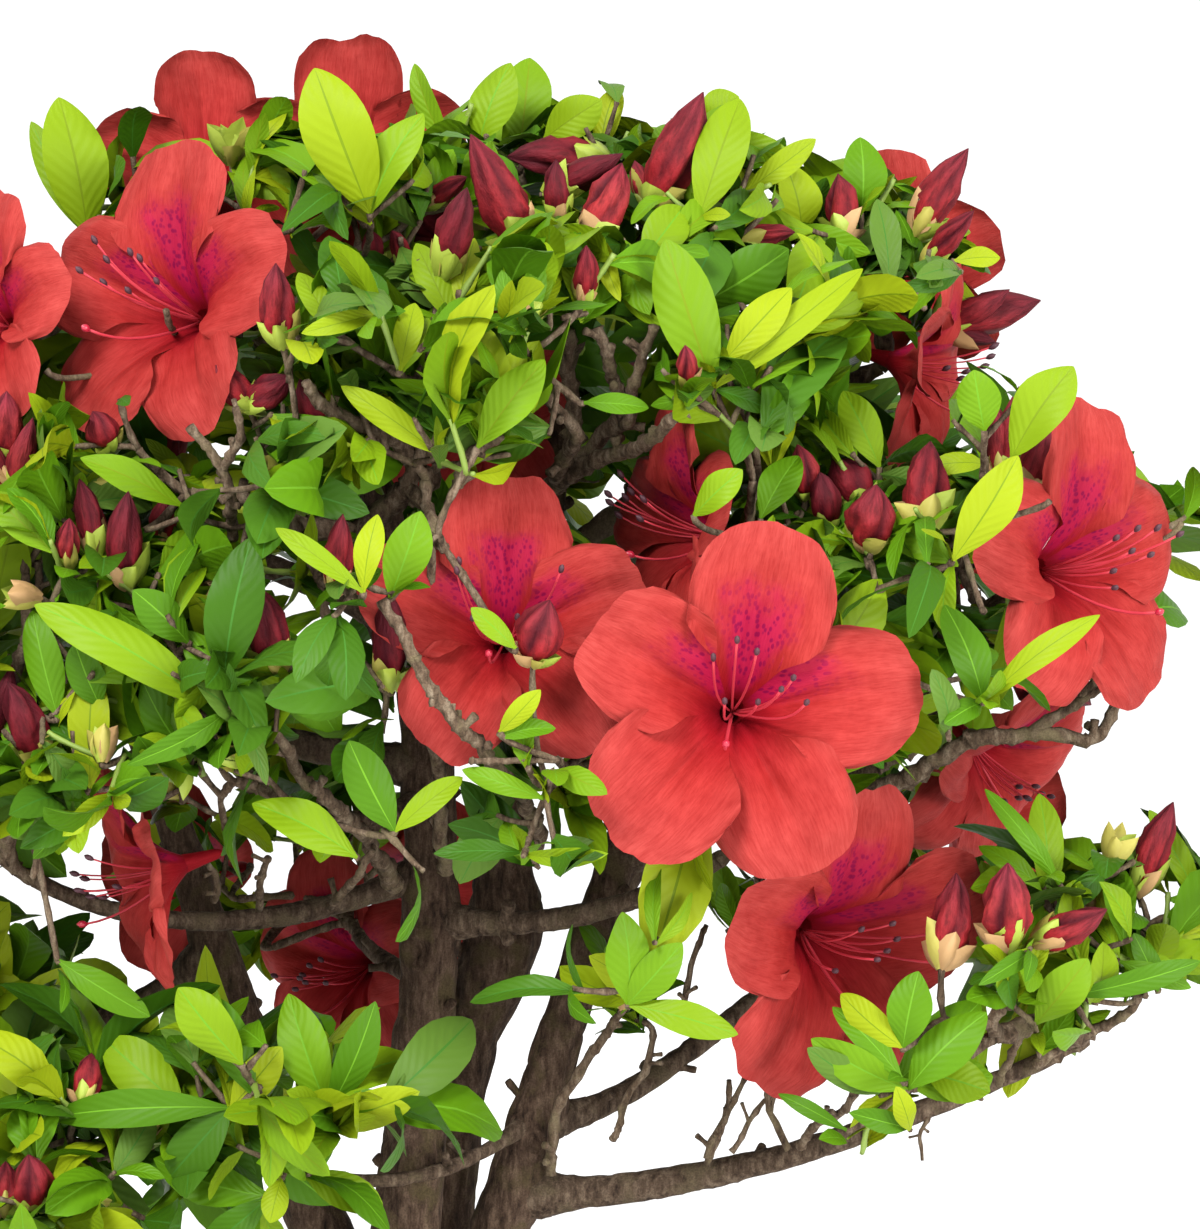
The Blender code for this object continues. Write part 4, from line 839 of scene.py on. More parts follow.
def limb_piece(name, finish):
    """The limb's skin with all its relief, and the pruned spurs on it."""
    line, half = limbs[name]
    chance = random.Random("spurs of " + name)
    stem = name in STEMS
    if stem:
        foot = line[0] - np.outer(np.linspace(16, GRAIN, 20), facing(*STEMS[name][2]))
        line = np.concatenate([foot, line])
        half = np.concatenate([half[0] * np.linspace(1.25, 1.0, 20), half])
    else:
        start = norm(line - line[0], axis=1)
        buried = np.interp(BOUGHS[name][1], [0, 1], [7, 3.5])
        half = half * (1 + FLARE * np.exp(-(np.clip(start - buried, 0, None) / (1.6 * half[0])) ** 1.5))
    sides = max(14, int(tau * half.mean() / GRAIN))
    smooth = line[:, None] + ring_spokes(line[None], sides)[0] * half[:, None, None]
    radii = half[:, None] + bark_height(smooth, half[:, None]) + bumps(smooth, name, half)
    spurs = spur_rows(line, half, STUBS_A_STEM if stem else STUBS_A_BOUGH, chance)
    paths, widths = (np.array(column) for column in zip(*spurs))
    lumpy = widths[:, :, None] * (1 + 0.14 * smooth_noise(ring_spokes(paths, 9) * 1.5 + paths[:, :, None], 5))
    points, quads, tris = joined([tubes(line[None], radii[None], sides), tubes(paths, lumpy, 9)])
    item = piece(name + "_bark", points, quads, tris, [finish])
    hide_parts(name)
    return triangles(quads, tris)


total = sum(limb_piece(name, stem_bark if name in STEMS else bough_bark) for name in limbs)
print("bark triangles:", total)

# %% [markdown]
# ## The root crown
#
# All the stems rise from one woody crown. Its roots flare out along the ground and sink between each other.
# It is one surface: a disc of rings that runs from the ground's edge up and in to the top, with the same flare
# as the solid. Its underside is flat, where it is cut at ground level.

# %% The root crown
ROOT_HEIGHT, ROOT_REACH, ROOT_HOLLOW, ROOT_NECK, ROOT_COUNT = 15.0, 33.0, 0.7, 16.0, 7
RINGS, SPOKES = 60, 160


def root_crown():
    """Radius = neck + (reach - neck) × (1 - height share) ** 2.4 up to the top, then a low dome over it."""
    turn = np.arange(SPOKES) * tau / SPOKES
    ridge = (0.5 + 0.5 * np.cos(ROOT_COUNT * turn)) ** 1.5
    uneven = 1 + 0.12 * np.cos(2 * turn + 0.8) + 0.08 * np.cos(3 * turn)
    reach = ROOT_REACH * uneven * (ROOT_HOLLOW + (1 - ROOT_HOLLOW) * ridge)
    way = np.linspace(0, 1, RINGS)[:, None]
    share = np.clip(way / 0.72, 0, 1) ** 1.4
    over = np.clip((way - 0.72) / 0.28, 0, 1)
    neck = ROOT_NECK * (1 - 0.25 * share**2)
    out = (neck + (reach - neck) * (1 - share) ** 2.4) * (1 - over)
    height = np.broadcast_to(ROOT_HEIGHT * (share + 0.28 * np.sin(over * pi / 2)), out.shape)
    skin = np.stack([out * np.cos(turn), out * np.sin(turn), height], axis=-1)
    lift = bark_height(skin * (1, 1, 2.0), 6.0) * np.clip(height / 2.5, 0, 1)
    skin = skin + unit(skin * (1, 1, 0) + (0, 0, 1.0) * (0.2 + over[..., None] * 8)) * lift[..., None]
    skin[:, :, 2] = np.clip(skin[:, :, 2], 0, None)
    points = np.concatenate([skin.reshape(-1, 3), [[0, 0, 0]]])
    quads, ends = swept_faces(1, RINGS, SPOKES)
    item = piece("root_crown_bark", points, quads, ends[:SPOKES], [stem_bark])
    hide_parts("root_crown")


root_crown()

# %% [markdown]
# ## Where everything grows
#
# A shrub's crown fills by forking. Each mass starts at its limb's tip. The tips that it has to reach are split
# in two across their longest spread, one twig grows towards each half, and each half splits again. The solid
# model uses the same rule, but stops sooner. Open flowers claim their room first, because leaves part round
# them, and every leafy shoot also carries side shoots of its own.

# %% Rooms for masses, and flowers that claim their space
HEART = np.array([10.0, 5.0, 150.0])  # the middle of the crown
LEFT_OF_VIEW = -85.0  # the camera sees nothing further left
BLOOM_RADIUS, BLOOM_CUP, BLOOM_TUBE = 33.0, 5.0, 22.0
LOBE = ((0.18, 0.93), (0.5, 1.0), (0.82, 0.93), (1.0, 0.7))
LEAF_REACH = 19.0


def room_of(name):
    """The flat walls between a mass and its neighbours, as directions and how far off they lie."""
    _, middle, half, _ = MASSES[name]
    middle = np.array(middle, float)
    walls, reach = [], []
    for other, (_, there, size, _) in MASSES.items():
        if other != name:
            across = np.array(there) - middle
            span = norm(across)
            walls.append(across / span)
            reach.append((span**2 + np.mean(half) ** 2 - np.mean(size) ** 2) / (2 * span) - GAP)
    return middle, np.array(walls), np.array(reach)


rooms = {name: room_of(name) for name in MASSES}


def inside(points, room, margin=0.0):
    """Whether all points keep this far within the walls of a room, and above the ground."""
    middle, walls, reach = room
    points = np.atleast_2d(points)
    return bool(np.all((points - middle) @ walls.T <= reach - margin) and points[:, 2].min() > LOWEST)


def tree_of(points, *faces):
    """A search tree of the faces, which tells quickly whether two shapes touch."""
    return BVHTree.FromPolygons(points.tolist(), [list(map(int, face)) for kind in faces for face in kind])


def flower_frame(faces):
    """The ways up and aside across a flower that faces this way."""
    up = unit(np.cross(np.cross(faces, (0, 0, 1)), faces))
    return up, np.cross(faces, up)


def rough_flower(throat, faces, share):
    """The points and triangles of a flower as coarse as the solid one."""
    up, side = flower_frame(faces)
    count = len(LOBE) * 5
    turns = np.array([(k // len(LOBE) + LOBE[k % len(LOBE)][0] - 0.5) * tau / 5 for k in range(count)])
    reach = np.array([LOBE[k % len(LOBE)][1] for k in range(count)]) * BLOOM_RADIUS * share
    spokes = np.outer(np.cos(turns), up) + np.outer(np.sin(turns), side)
    rim = throat + spokes * reach[:, None] + faces * BLOOM_CUP * share
    funnel = throat + spokes * 7 * share - faces * 9 * share
    points = np.concatenate([funnel, rim, [throat - faces * (BLOOM_TUBE * share + 3)], [throat - faces * 6 * share]])
    low = np.arange(count)
    after = (low + 1) % count
    foot, pit = np.full(count, 2 * count), np.full(count, 2 * count + 1)
    tris = np.concatenate([np.stack(row, axis=-1) for row in (
        (foot, low, after), (low, low + count, after),
        (low + count, after + count, after), (low + count, pit, after + count),
    )])
    return points, tris


def spiral(count, chance):
    """Directions spread evenly over a sphere, each a little off its place."""
    golden = pi * (3 - sqrt(5))
    for k in range(count):
        level = 1 - 2 * (k + 0.5) / count
        ring = sqrt(1 - level**2)
        wobble = np.array([chance.uniform(-1, 1) for _ in range(3)]) * 0.18
        yield unit(np.array([ring * cos(golden * k), ring * sin(golden * k), level]) + wobble)


def outer_bloom_rows(name, chance):
    """Further open flowers on the outer side of a mass, where the list of front flowers has none."""
    _, middle, half, _ = MASSES[name]
    middle, half = np.array(middle, float), np.array(half, float)
    wanted = 2 if middle[1] > 40 else 1
    if np.mean(half) < 31 or middle[1] < -40:
        wanted = 0
    outward = unit(middle - HEART)
    rows = []
    for direction in spiral(40, chance):
        throat = middle + half * direction * 0.8
        faces = unit(direction + 0.4 * outward)
        least = -0.6 if throat[0] < LEFT_OF_VIEW else 0.1
        behind = throat[1] > 30 or throat[0] < LEFT_OF_VIEW
        if behind and direction @ outward > 0.25 and faces[1] > least and -0.5 < direction[2] < 0.3:
            rows.append((direction @ outward + chance.random(), throat, faces))
    rows.sort(key=lambda row: -row[0])
    return wanted, [(throat, faces) for _, throat, faces in rows]


limb_trees = [tree_of(*tubes(line[None, ::12], half[None, ::12] + GAP, 8)) for line, half in limbs.values()]


def place_blooms():
    """For each mass, rows of (foot, throat, faces, share of the full size, 1 + its share in view if listed)."""
    placed = {name: [] for name in MASSES}
    taken = list(limb_trees)

    def claim(name, throat, faces, share, listed):
        foot = throat - faces * BLOOM_TUBE * share
        points, tris = rough_flower(throat, faces, share * 1.04)
        if inside(foot, rooms[name]) and points[:, 2].min() > LOWEST:
            tree = tree_of(points, tris)
            if not any(tree.overlap(other) for other in taken):
                placed[name].append((foot, throat, faces, share, listed))
                taken.append(tree)

    for name, throat, faced, share, seen in FRONT_BLOOMS:
        claim(name, np.array(throat, float), facing(*faced), share, 1 + seen)
    for name in MASSES:
        chance = random.Random("flowers of " + name)
        wanted, rows = outer_bloom_rows(name, chance)
        goal = len(placed[name]) + wanted
        for throat, faces in rows:
            if len(placed[name]) >= goal:
                break
            claim(name, throat, faces, chance.uniform(0.8, 0.95), 0)
    return placed, taken


blooms, taken = place_blooms()
every_bloom = [bloom for rows in blooms.values() for bloom in rows]
print("open flowers:", len(every_bloom), "of them listed:", sum(bloom[4] >= 1 for bloom in every_bloom))

# %% Shoots
NEAR_LISTED = 12.0  # a grown tip keeps this far from the listed ones
SIDE_SHOOTS = 3


def shaded(point, view=34.0, bare=0.85):
    """Whether a point lies in front of an open flower, where leaves part before it."""
    for _, throat, faces, share, _ in every_bloom:
        ahead = (point - throat) @ faces
        aside = norm(point - throat - faces * ahead)
        if -2 < ahead < view and aside < BLOOM_RADIUS * share * bare:
            return True
    return False


def veils(point):
    """Whether a point stands before the part of a listed flower that stays in view."""
    return any(seen > 1 and hides(point[None], throat, BLOOM_RADIUS * share * (seen - 1))[0]
               for _, throat, _, share, seen in every_bloom)


def owner_of(point):
    """The mass whose room holds this point."""
    def far(name):
        _, middle, half, _ = MASSES[name]
        return np.sum((np.array(middle) - point) ** 2) - np.mean(half) ** 2
    return min(MASSES, key=far)


def shoot_tips(name, chance):
    """Where the leafy shoots of a mass end, and which way each one points."""
    _, middle, half, count = MASSES[name]
    middle = np.array(middle, float)
    inward = unit(HEART - middle)
    for direction in spiral(count if middle[1] < 0 else int(count * 1.5), chance):
        if direction @ inward > 0.45:
            continue
        for shrink in (1.0, 0.85, 0.7, 0.5):
            tip = middle + (np.array(half) - LEAF_REACH) * direction * shrink
            if inside(tip, rooms[name], 9.0) and not (shaded(tip) or veils(tip) or in_sky(tip[None])[0]):
                yield tip, unit(direction + (0, 0, 0.55))
                break


listed = {name: [] for name in MASSES}


def list_tip(place, points, kind, facts):
    """Give a listed tip to the mass whose room it lies in."""
    place = np.array(place, float)
    listed[owner_of(place)].append((place, points, kind, facts))


for x, y, z, heading, rise, length, age in FRONT_SHOOTS:
    list_tip((x, y, z), facing(heading, rise), "leaves", (length * 1.12, age))
for place in sorted(KEY_PLACES - {row[:3] for row in FRONT_SHOOTS}):
    list_tip(place, facing(-90, 60), "leaves", (18, 1))
for x, y, z, heading, rise, count in FURTHER_BUDS:
    list_tip((x, y, z), facing(heading, rise), "buds", count)
for x, y, z, *numbers in KEY_BUDS:
    each = tuple(zip(*[iter(numbers)] * 4))
    list_tip((x, y, z), unit(np.mean([way[:3] for way in each], axis=0) + (0, 0, 3)), "buds", each)


def tips_of(name):
    """Everything that a mass's twigs end in: (place, direction, kind, facts)."""
    tips = [(bloom[0], bloom[2], "flower", bloom) for bloom in blooms[name]]
    tips += listed[name]
    chance = random.Random(name)
    for tip, points in list(shoot_tips(name, chance)):
        kind = "buds" if chance.random() < 0.22 else "leaves"
        if all(norm(tip - other[0]) > NEAR_LISTED for other in tips):
            if kind == "buds" and tip[1] < -20 and tip[0] > -82:
                kind = "leaves"
            age = chance.choices((0, 1, 2), (0.5, 0.35, 0.15))[0]
            tips.append((tip, points, kind, 3 if kind == "buds" else (chance.uniform(24, 33), age)))
    return tips


# %% Forks
TWIG_END, TWIG_GROWTH, FORK_SHARE = 0.62, 0.44, 0.45
WOODY, GREEN = 0, 1  # a twig's finishes
NO_WHORL = -1
REGIONS = {  # each kind of thing is joined into one piece for each of these
    "crown": ("top_left_foliage", "top_middle_foliage", "top_right_foliage", "upper_left_foliage"),
    "left": ("middle_left_foliage", "left_side_foliage", "left_front_foliage", "low_left_foliage",
             "foot_left_foliage", "crossing_foliage"),
    "front": ("front_middle_foliage", "front_low_foliage", "front_right_foliage", "middle_right_foliage"),
    "right": ("right_side_foliage", "lower_right_foliage", "rear_right_foliage", "back_right_foliage"),
    "back": ("back_foliage", "back_left_foliage", "low_back_foliage"),
}
region_names = list(REGIONS)
FRONT = region_names.index("front")
chance = random.Random("azalea twigs")
twig_rows = []  # (region, begin, end, way in, way out, half width at each end, finish, its whorl or -1)
whorl_rows = []  # (region, place, direction, leaf length, age, kind)
bud_rows = []  # (region, place, direction, count or the list of buds)
bloom_rows = []  # (region, bloom)


def rod_hits(begin, end, half):
    """Whether a three-sided rod between two points would touch a limb or a flower."""
    if norm(end - begin) < 0.5:
        return False
    tree = tree_of(*tubes(np.array([[begin, end]]), np.array([[half, half]]), 3))
    return any(tree.overlap(other) for other in taken)


def clear_spot(begin, end, half):
    """The wanted place for a fork, or one near it that is clear of limbs and flowers."""
    for attempt in range(8):
        trial = end + np.array([chance.uniform(-1, 1) for _ in range(3)]) * attempt * 2.5
        if not rod_hits(begin, trial, half) and (attempt > 5 or not veils(trial)):
            return trial
    return None


def fork(region, start, half_start, came, tips):
    """Split the tips in two across their longest spread, and grow one twig towards each half."""
    places = np.array([tip[0] for tip in tips])
    if len(tips) == 1:
        end_shoot(region, start, half_start, came, tips[0])
        return
    middle = places.mean(axis=0)
    half = TWIG_END * len(tips) ** TWIG_GROWTH
    hub = clear_spot(start, start + (middle - start) * FORK_SHARE, half)
    if hub is None:
        hub = start
    else:
        twig_rows.append((region, start, hub, came, unit(hub - start), half_start, half, WOODY, NO_WHORL))
        half_start, came = half, unit(hub - start)
    spread = np.linalg.svd(places - middle)[2][0]
    order = np.argsort((places - middle) @ spread, kind="stable")
    cut = len(tips) // 2
    for part in (order[:cut], order[cut:]):
        branch = [tips[k] for k in part]
        fork(region, hub, min(half_start, TWIG_END * len(branch) ** TWIG_GROWTH), came, branch)


def end_shoot(region, start, half_start, came, tip):
    """The last twig to a flower, buds or leaves, with side shoots that end in whorls of their own."""
    place, points, kind, facts = tip
    if kind == "flower":
        twig_rows.append((region, start, place, came, points, half_start, 0.75, WOODY, NO_WHORL))
        bloom_rows.append((region, facts))
        count = 2
    else:
        twig_rows.append((region, start, place, came, points, half_start, TWIG_END, WOODY, NO_WHORL))
        if kind == "buds":
            bud_rows.append((region, place, points, facts))
            length, age = chance.uniform(15, 22), chance.choice((0, 1))
            whorl_rows.append((region, place - points * 3, points, length, age, "buds"))
        else:
            whorl_rows.append((region, place, points, *facts, "few" if tuple(place) in KEY_PLACES else "tip"))
        count = SIDE_SHOOTS
    span = norm(place - start)
    along = unit(place - start)
    turn = chance.uniform(0, tau)
    first, second = square_pair(along)
    for k in range(count):
        share = 0.92 - 0.5 * k / max(count, 1) - chance.uniform(0, 0.12)
        if span * share < 4:
            continue
        turn += 2.4
        aims = unit(along * chance.uniform(0.5, 1.1) + first * cos(turn) + second * sin(turn) + (0, 0, 0.35))
        root = start + (place - start) * share
        reach = chance.uniform(7, 13)
        end = root + aims * reach
        if shaded(end) or veils(end) or rod_hits(root + aims * 1.5, end, 0.6):
            continue
        out = unit(aims + (0, 0, 0.4))
        age = chance.choices((0, 1, 2), (0.22, 0.45, 0.33))[0]
        side_row = (region, root, end, unit(aims + 0.5 * along), out, TWIG_END, TWIG_END * 0.8)
        twig_rows.append((*side_row, GREEN if age == 0 else WOODY, len(whorl_rows)))
        whorl_rows.append((region, end, out, chance.uniform(17, 29), age, "side"))


for half_foot, half_tip, leafy, points in BARE_TWIGS:
    if leafy:
        end, before = np.array(points[-1], float), np.array(points[-2], float)
        whorl_rows.append((FRONT, end, unit(unit(end - before) + (0, 0, 0.3)), *leafy, "tip"))

for region, names in enumerate(REGIONS.values()):
    for name in names:
        line, half = limbs[MASSES[name][0]]
        out = unit(line[-1] - line[-3])
        tips = tips_of(name)
        stem = min(half[-1] * 0.95, TWIG_END * len(tips) ** TWIG_GROWTH)
        neck = line[-1] + out * 4
        twig_rows.append((region, line[-1] - out * 2, neck, out, out, half[-1] * 0.98, stem, WOODY, NO_WHORL))
        fork(region, neck, stem, out, tips)
print(len(twig_rows), "twigs,", len(whorl_rows), "whorls,", len(bud_rows), "bud clusters,", len(bloom_rows), "blooms")

# %% [markdown]
# ## Leaves
#
# An azalea leaf is an egg shape that is widest beyond its middle. It folds a little along its rib, droops at
# its tip and often has a rippled edge. Young ones stand up in the middle of the whorl and are yellow-green.
# Older ones lie out flat below them, darker. Every leaf is the same grid of points, placed by its own numbers,
# so that all of them can be worked out at once.

# %% Deal out the leaves
leaf_rows = []  # a row of 18 numbers for each leaf, whose columns have these names
ROOT, AIMS, UP = slice(0, 3), slice(3, 6), slice(6, 9)
LENGTH, WIDTH, CURL, FOLD, PHASE, FINISH, RIB, REGION, WHORL = range(9, 18)
GREEN_SETS = ((0, 4), (4, 8), (8, 11))  # the first finish of each age, and the first beyond it


def green_for(age):
    """One of the greens of this age."""
    first, last = GREEN_SETS[age]
    return chance.randrange(first, last)


def add_leaf(region, root, aims, up, length, share, curl, fold, age, link):
    """Note one leaf. Its up is made square to its aims, and its ripple starts anywhere."""
    up = unit(up - aims * (up @ aims))
    shape = (length, share, curl, fold, chance.uniform(0, tau))
    leaf_rows.append((*root, *aims, *up, *shape, green_for(age), len(leaf_finishes) + age, region, link))


WHORLS = {  # by kind and age: (how many, degrees from the shoot, sizes, droop, shade) for each ring
    ("tip", 0): (((3, 4), (12, 36), (0.8, 1.15), (-0.05, 0.12), 0), ((2, 3), (45, 78), (0.55, 0.85), (0.0, 0.2), 1)),
    ("tip", 1): (((4, 5), (34, 66), (0.8, 1.10), (0.02, 0.22), 1), ((2, 3), (12, 32), (0.5, 0.8), (-0.05, 0.1), 0)),
    ("tip", 2): (((4, 5), (44, 80), (0.8, 1.10), (0.05, 0.28), 2), ((1, 2), (14, 34), (0.45, 0.7), (-0.05, 0.1), 1)),
    ("few", 0): (((1, 3), (40, 75), (0.45, 0.75), (0.0, 0.2), 1), ((1, 2), (8, 26), (0.3, 0.5), (0.0, 0.1), 0)),
    ("few", 1): (((1, 3), (45, 80), (0.5, 0.8), (0.0, 0.2), 1), ((0, 2), (8, 30), (0.3, 0.5), (0.0, 0.1), 0)),
    ("few", 2): (((1, 3), (50, 85), (0.5, 0.8), (0.0, 0.3), 2), ((0, 1), (8, 30), (0.3, 0.5), (0.0, 0.1), 1)),
    ("side", 0): (((3, 4), (16, 44), (0.70, 1.05), (-0.05, 0.15), 0), ((1, 2), (50, 80), (0.6, 0.9), (0.0, 0.2), 1)),
    ("side", 1): (((3, 5), (36, 74), (0.75, 1.10), (0.02, 0.25), 1),),
    ("side", 2): (((3, 5), (40, 84), (0.8, 1.15), (0.05, 0.30), 2),),
    ("buds", 0): (((3, 4), (56, 86), (0.6, 1.05), (0.0, 0.25), 1), ((0, 1), (30, 50), (0.7, 1.0), (0.0, 0.1), 0)),
    ("buds", 1): (((3, 5), (58, 92), (0.6, 1.05), (0.0, 0.25), 2), ((0, 2), (34, 55), (0.7, 1.0), (0.0, 0.1), 1)),
}


def whorl(link, region, place, points, length, age, kind):
    """Rings of leaves round the end of a shoot: young ones upright, older ones spread below them."""
    first, second = square_pair(points)
    turn = chance.uniform(0, tau)
    narrow = chance.random() < 0.15
    for count, leans, sizes, curls, shade in WHORLS[kind, age]:
        count = chance.randint(*count)
        turn += 0.6
        for k in range(count):
            around = turn + tau * (k + chance.uniform(-0.25, 0.25)) / count
            lean = radians(chance.uniform(*leans))
            radial = first * cos(around) + second * sin(around)
            aims = unit(points * cos(lean) + radial * sin(lean) + (0, 0, 0.10))
            up = points * sin(lean) - radial * cos(lean) + np.array([chance.gauss(0, 0.25) for _ in range(3)])
            size = length * chance.uniform(*sizes)
            share = chance.uniform(0.22, 0.30) if narrow else chance.uniform(0.35, 0.48)
            tone = min(2, max(0, shade + chance.choice((0, 0, 0, 0, 1, -1))))
            add_leaf(region, place - points * chance.uniform(0, 3), aims, up, size, share,
                     chance.uniform(*curls), chance.uniform(0.2, 0.75), tone, link)


for link, row in enumerate(whorl_rows):
    whorl(link, *row)
dealt = len(leaf_rows)
region_of = {name: region for region, names in enumerate(REGIONS.values()) for name in names}
for x, y, z, dx, dz, width, age in KEY_LEAVES:
    root, way = np.array([x, y, z], float), np.array([dx, chance.uniform(-5, 5), dz])
    length = norm(way)
    up = np.array([chance.uniform(-0.4, 0.4), -1.0, chance.uniform(-0.1, 0.5)])
    add_leaf(region_of[owner_of(root)], root, way / length, up, length, width / length * 1.06,
             chance.uniform(-0.06, 0.10), chance.uniform(0.15, 0.6), age, NO_WHORL)
leaves = np.array(leaf_rows)
print(len(leaves), "leaves dealt")

# %% Leaves part round flowers, limbs and the view of the front flowers
WINDOWS = [  # x, z, radius and depth of the places where leaves part before twigs or the sky
    (15, 190, 7, 200), (42, 192, 6, 200), (36, 208, 9, 10), (-36, 200, 6, 0), (-6, 124, 9, 0), (62, 190, 5, 200),
    (-39, 268, 11, -10), (-12, 272, 12, 14), (102, 206, 7, -2), (162, 111, 5.9, 200), (-20, 32, 5.9, 200),
    (26, 99, 4.7, 200), (134, 173, 5.0, 200), (-38, 100, 7.1, 200), (-57, 121, 5.3, 200), (-23, 95, 4.1, 200),
    (123, 118, 4.7, 200), (69, 80, 5.9, 200), (159, 142, 5.3, 200), (175, 92, 4.1, 200), (13, 97, 5, 0),
    (19, 108, 5, 0), (12, 105, 4, 0), (5, 98, 4, 0),
]
bare_places = [place for row in BARE_TWIGS for place in through(row[3], 3 * len(row[3]))[2:]]
SIGHTS = [(np.array([x, depth, z], float), wide) for x, z, wide, depth in WINDOWS]
SIGHTS += [(place, 2.0) for place in bare_places]
SIGHTS += [(np.array([x + 0.55 * dx, y, z + 0.55 * dz]), 0.34 * hypot(dx, dz))
           for x, y, z, dx, dz, _, _ in KEY_LEAVES]
SIGHTS += [(throat, BLOOM_RADIUS * share * (seen - 1)) for _, throat, _, share, seen in every_bloom if seen > 1]
bud_spots = []  # middle and half length of each bud, or of a whole cluster
for _, place, points, buds in bud_rows:
    if isinstance(buds, tuple):
        bud_spots += [(place + np.array(way[:3]) * 0.55, 0.42 * norm(way[:3])) for way in buds]
    else:
        bud_spots.append((place + points * 9, 5.0))
SIGHTS += [(spot, max(wide, 4.0)) for spot, wide in bud_spots if spot[1] < -8]
KEPT_CLEAR = [(np.array([x + at * dx, y, z + at * dz]), share * hypot(dx, dz))
              for x, y, z, dx, dz, _, _ in KEY_LEAVES for at, share in ((0.3, 0.14), (0.62, 0.20))]
KEPT_CLEAR += [(spot, wide * 0.8) for spot, wide in bud_spots]


def samples(rows):
    """Points spread over each leaf: five along it, by three across."""
    root, aims, up = (rows[:, part] for part in (ROOT, AIMS, UP))
    length, share, curl = (rows[:, k : k + 1] for k in (LENGTH, WIDTH, CURL))
    side = np.cross(aims, up) * length * share / 2
    for along, aside in product((0.12, 0.34, 0.56, 0.78, 1.0), (-0.8, 0.0, 0.8)):
        yield root + length * (aims * along - up * curl * along**2) + side * aside * sin(pi * along)


def from_flower(point, throat, faces):
    """How far each point lies ahead of a flower's throat, and how far off its axis."""
    ahead = (point - throat) @ faces
    return ahead, norm(point - throat - ahead[:, None] * faces, axis=1)


def pierces(rows):
    """Which leaves would pass through a flower or a limb."""
    bad = np.zeros(len(rows), dtype=bool)
    for point in samples(rows):
        for _, throat, faces, share, _ in every_bloom:
            ahead, aside = from_flower(point, throat, faces)
            bad |= (ahead > -8 * share) & (ahead < 9) & (aside < BLOOM_RADIUS * share)
            bad |= (ahead > -22 * share) & (ahead <= -8 * share) & (aside < 7 * share)
        for line, half in limbs.values():
            near = norm(point[:, None] - line[None, ::16], axis=-1)
            bad |= np.any(near < half[None, ::16] + 0.2, axis=1)
    return bad


def in_the_way(rows):
    """Which leaves would stand before a flower's face, a bud or a line of sight, or leave the box."""
    bad = pierces(rows)
    for point in samples(rows):
        bad |= in_sky(point)
        for _, throat, faces, share, seen in every_bloom:
            ahead, aside = from_flower(point, throat, faces)
            open_share = 0.62 if seen == 0 else max(0.3, seen - 1)
            bad |= (ahead >= 9) & (ahead < 26) & (aside < BLOOM_RADIUS * share * open_share)
        for target, wide in SIGHTS:
            bad |= hides(point, target, wide)
        for spot, wide in KEPT_CLEAR:
            bad |= norm(point - spot, axis=1) < wide
        bad |= np.any(point < box_low + (-6, -6, 2), axis=1) | np.any(point > box_high + 6, axis=1)
    return bad


RETRIES = ((0, 0.62), (50, 0.85), (-50, 0.85), (90, 0.7), (-90, 0.7))  # degrees turned in its plane, share of length
SHORTEST_LEAF = 8
key_leaves = leaves[dealt:]
leaves = leaves[:dealt]
bad = in_the_way(leaves)
kept, dropped = [leaves[~bad]], leaves[bad]
for degrees, share in RETRIES:
    trial, turn = dropped.copy(), radians(degrees)
    trial[:, AIMS] = trial[:, AIMS] * cos(turn) + np.cross(trial[:, AIMS], trial[:, UP]) * sin(turn)
    trial[:, LENGTH] *= share
    bad = (trial[:, LENGTH] < SHORTEST_LEAF) | in_the_way(trial)
    kept.append(trial[~bad])
    dropped = dropped[bad]
leaves = np.concatenate(kept + [key_leaves[~pierces(key_leaves)]])
print("leaves kept at once, then on each retry:", [len(rows) for rows in kept], "in all:", len(leaves))
print("key leaves that would pierce something:", int(pierces(key_leaves).sum()))

# %% Leaf blades
ALONG = np.array([0.0, 0.10, 0.25, 0.41, 0.57, 0.72, 0.85, 0.95, 1.0])
FINE_ALONG = np.sin(np.linspace(0, 1, 16) * pi / 2) ** 1.3
ACROSS = np.array([-1.0, -0.55, -0.04, 0.04, 0.55, 1.0])


def blades(rows, along=ALONG, across=ACROSS, width=None):
    """Point = root + L(u · ahead - curl · u² · up) + side · v · w(u) + up · (fold · |v| - 0.35 v² + ripple) · w(u).

    The half width w(u) follows u^0.95 (1 - u)^0.78, which is widest at 0.55 of the length."""
    rows = rows[:, None, None, :]
    root, aims, up = (rows[..., part] for part in (ROOT, AIMS, UP))
    length, share, curl, fold, phase = (rows[..., k : k + 1] for k in (LENGTH, WIDTH, CURL, FOLD, PHASE))
    u, v = along[None, :, None, None], across[None, None, :, None]
    shape = u**0.95 * (1 - u) ** 0.78 / 0.311 if width is None else width(u)
    half = np.maximum(length * share * shape / 2, 0.35 * (1 - u))
    lift = fold * np.abs(v) - 0.35 * v**2 + 0.22 * np.sin(7 * u + phase + v) * v**2
    side = np.cross(aims, up)
    bow = up * (0.10 * np.sin(pi * u) - curl * u**2)
    centre = root + length * (aims * u + bow + side * 0.05 * np.sin(phase * 3) * u**2)
    return (centre + side * v * half + up * lift * half).reshape(-1, 3)


def foliage(name, label, *arrays, **facts):
    """A piece that, with its like, takes the place of the rough solids of its region."""
    item = piece(name, *arrays, **facts)
    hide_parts(*REGIONS[label])


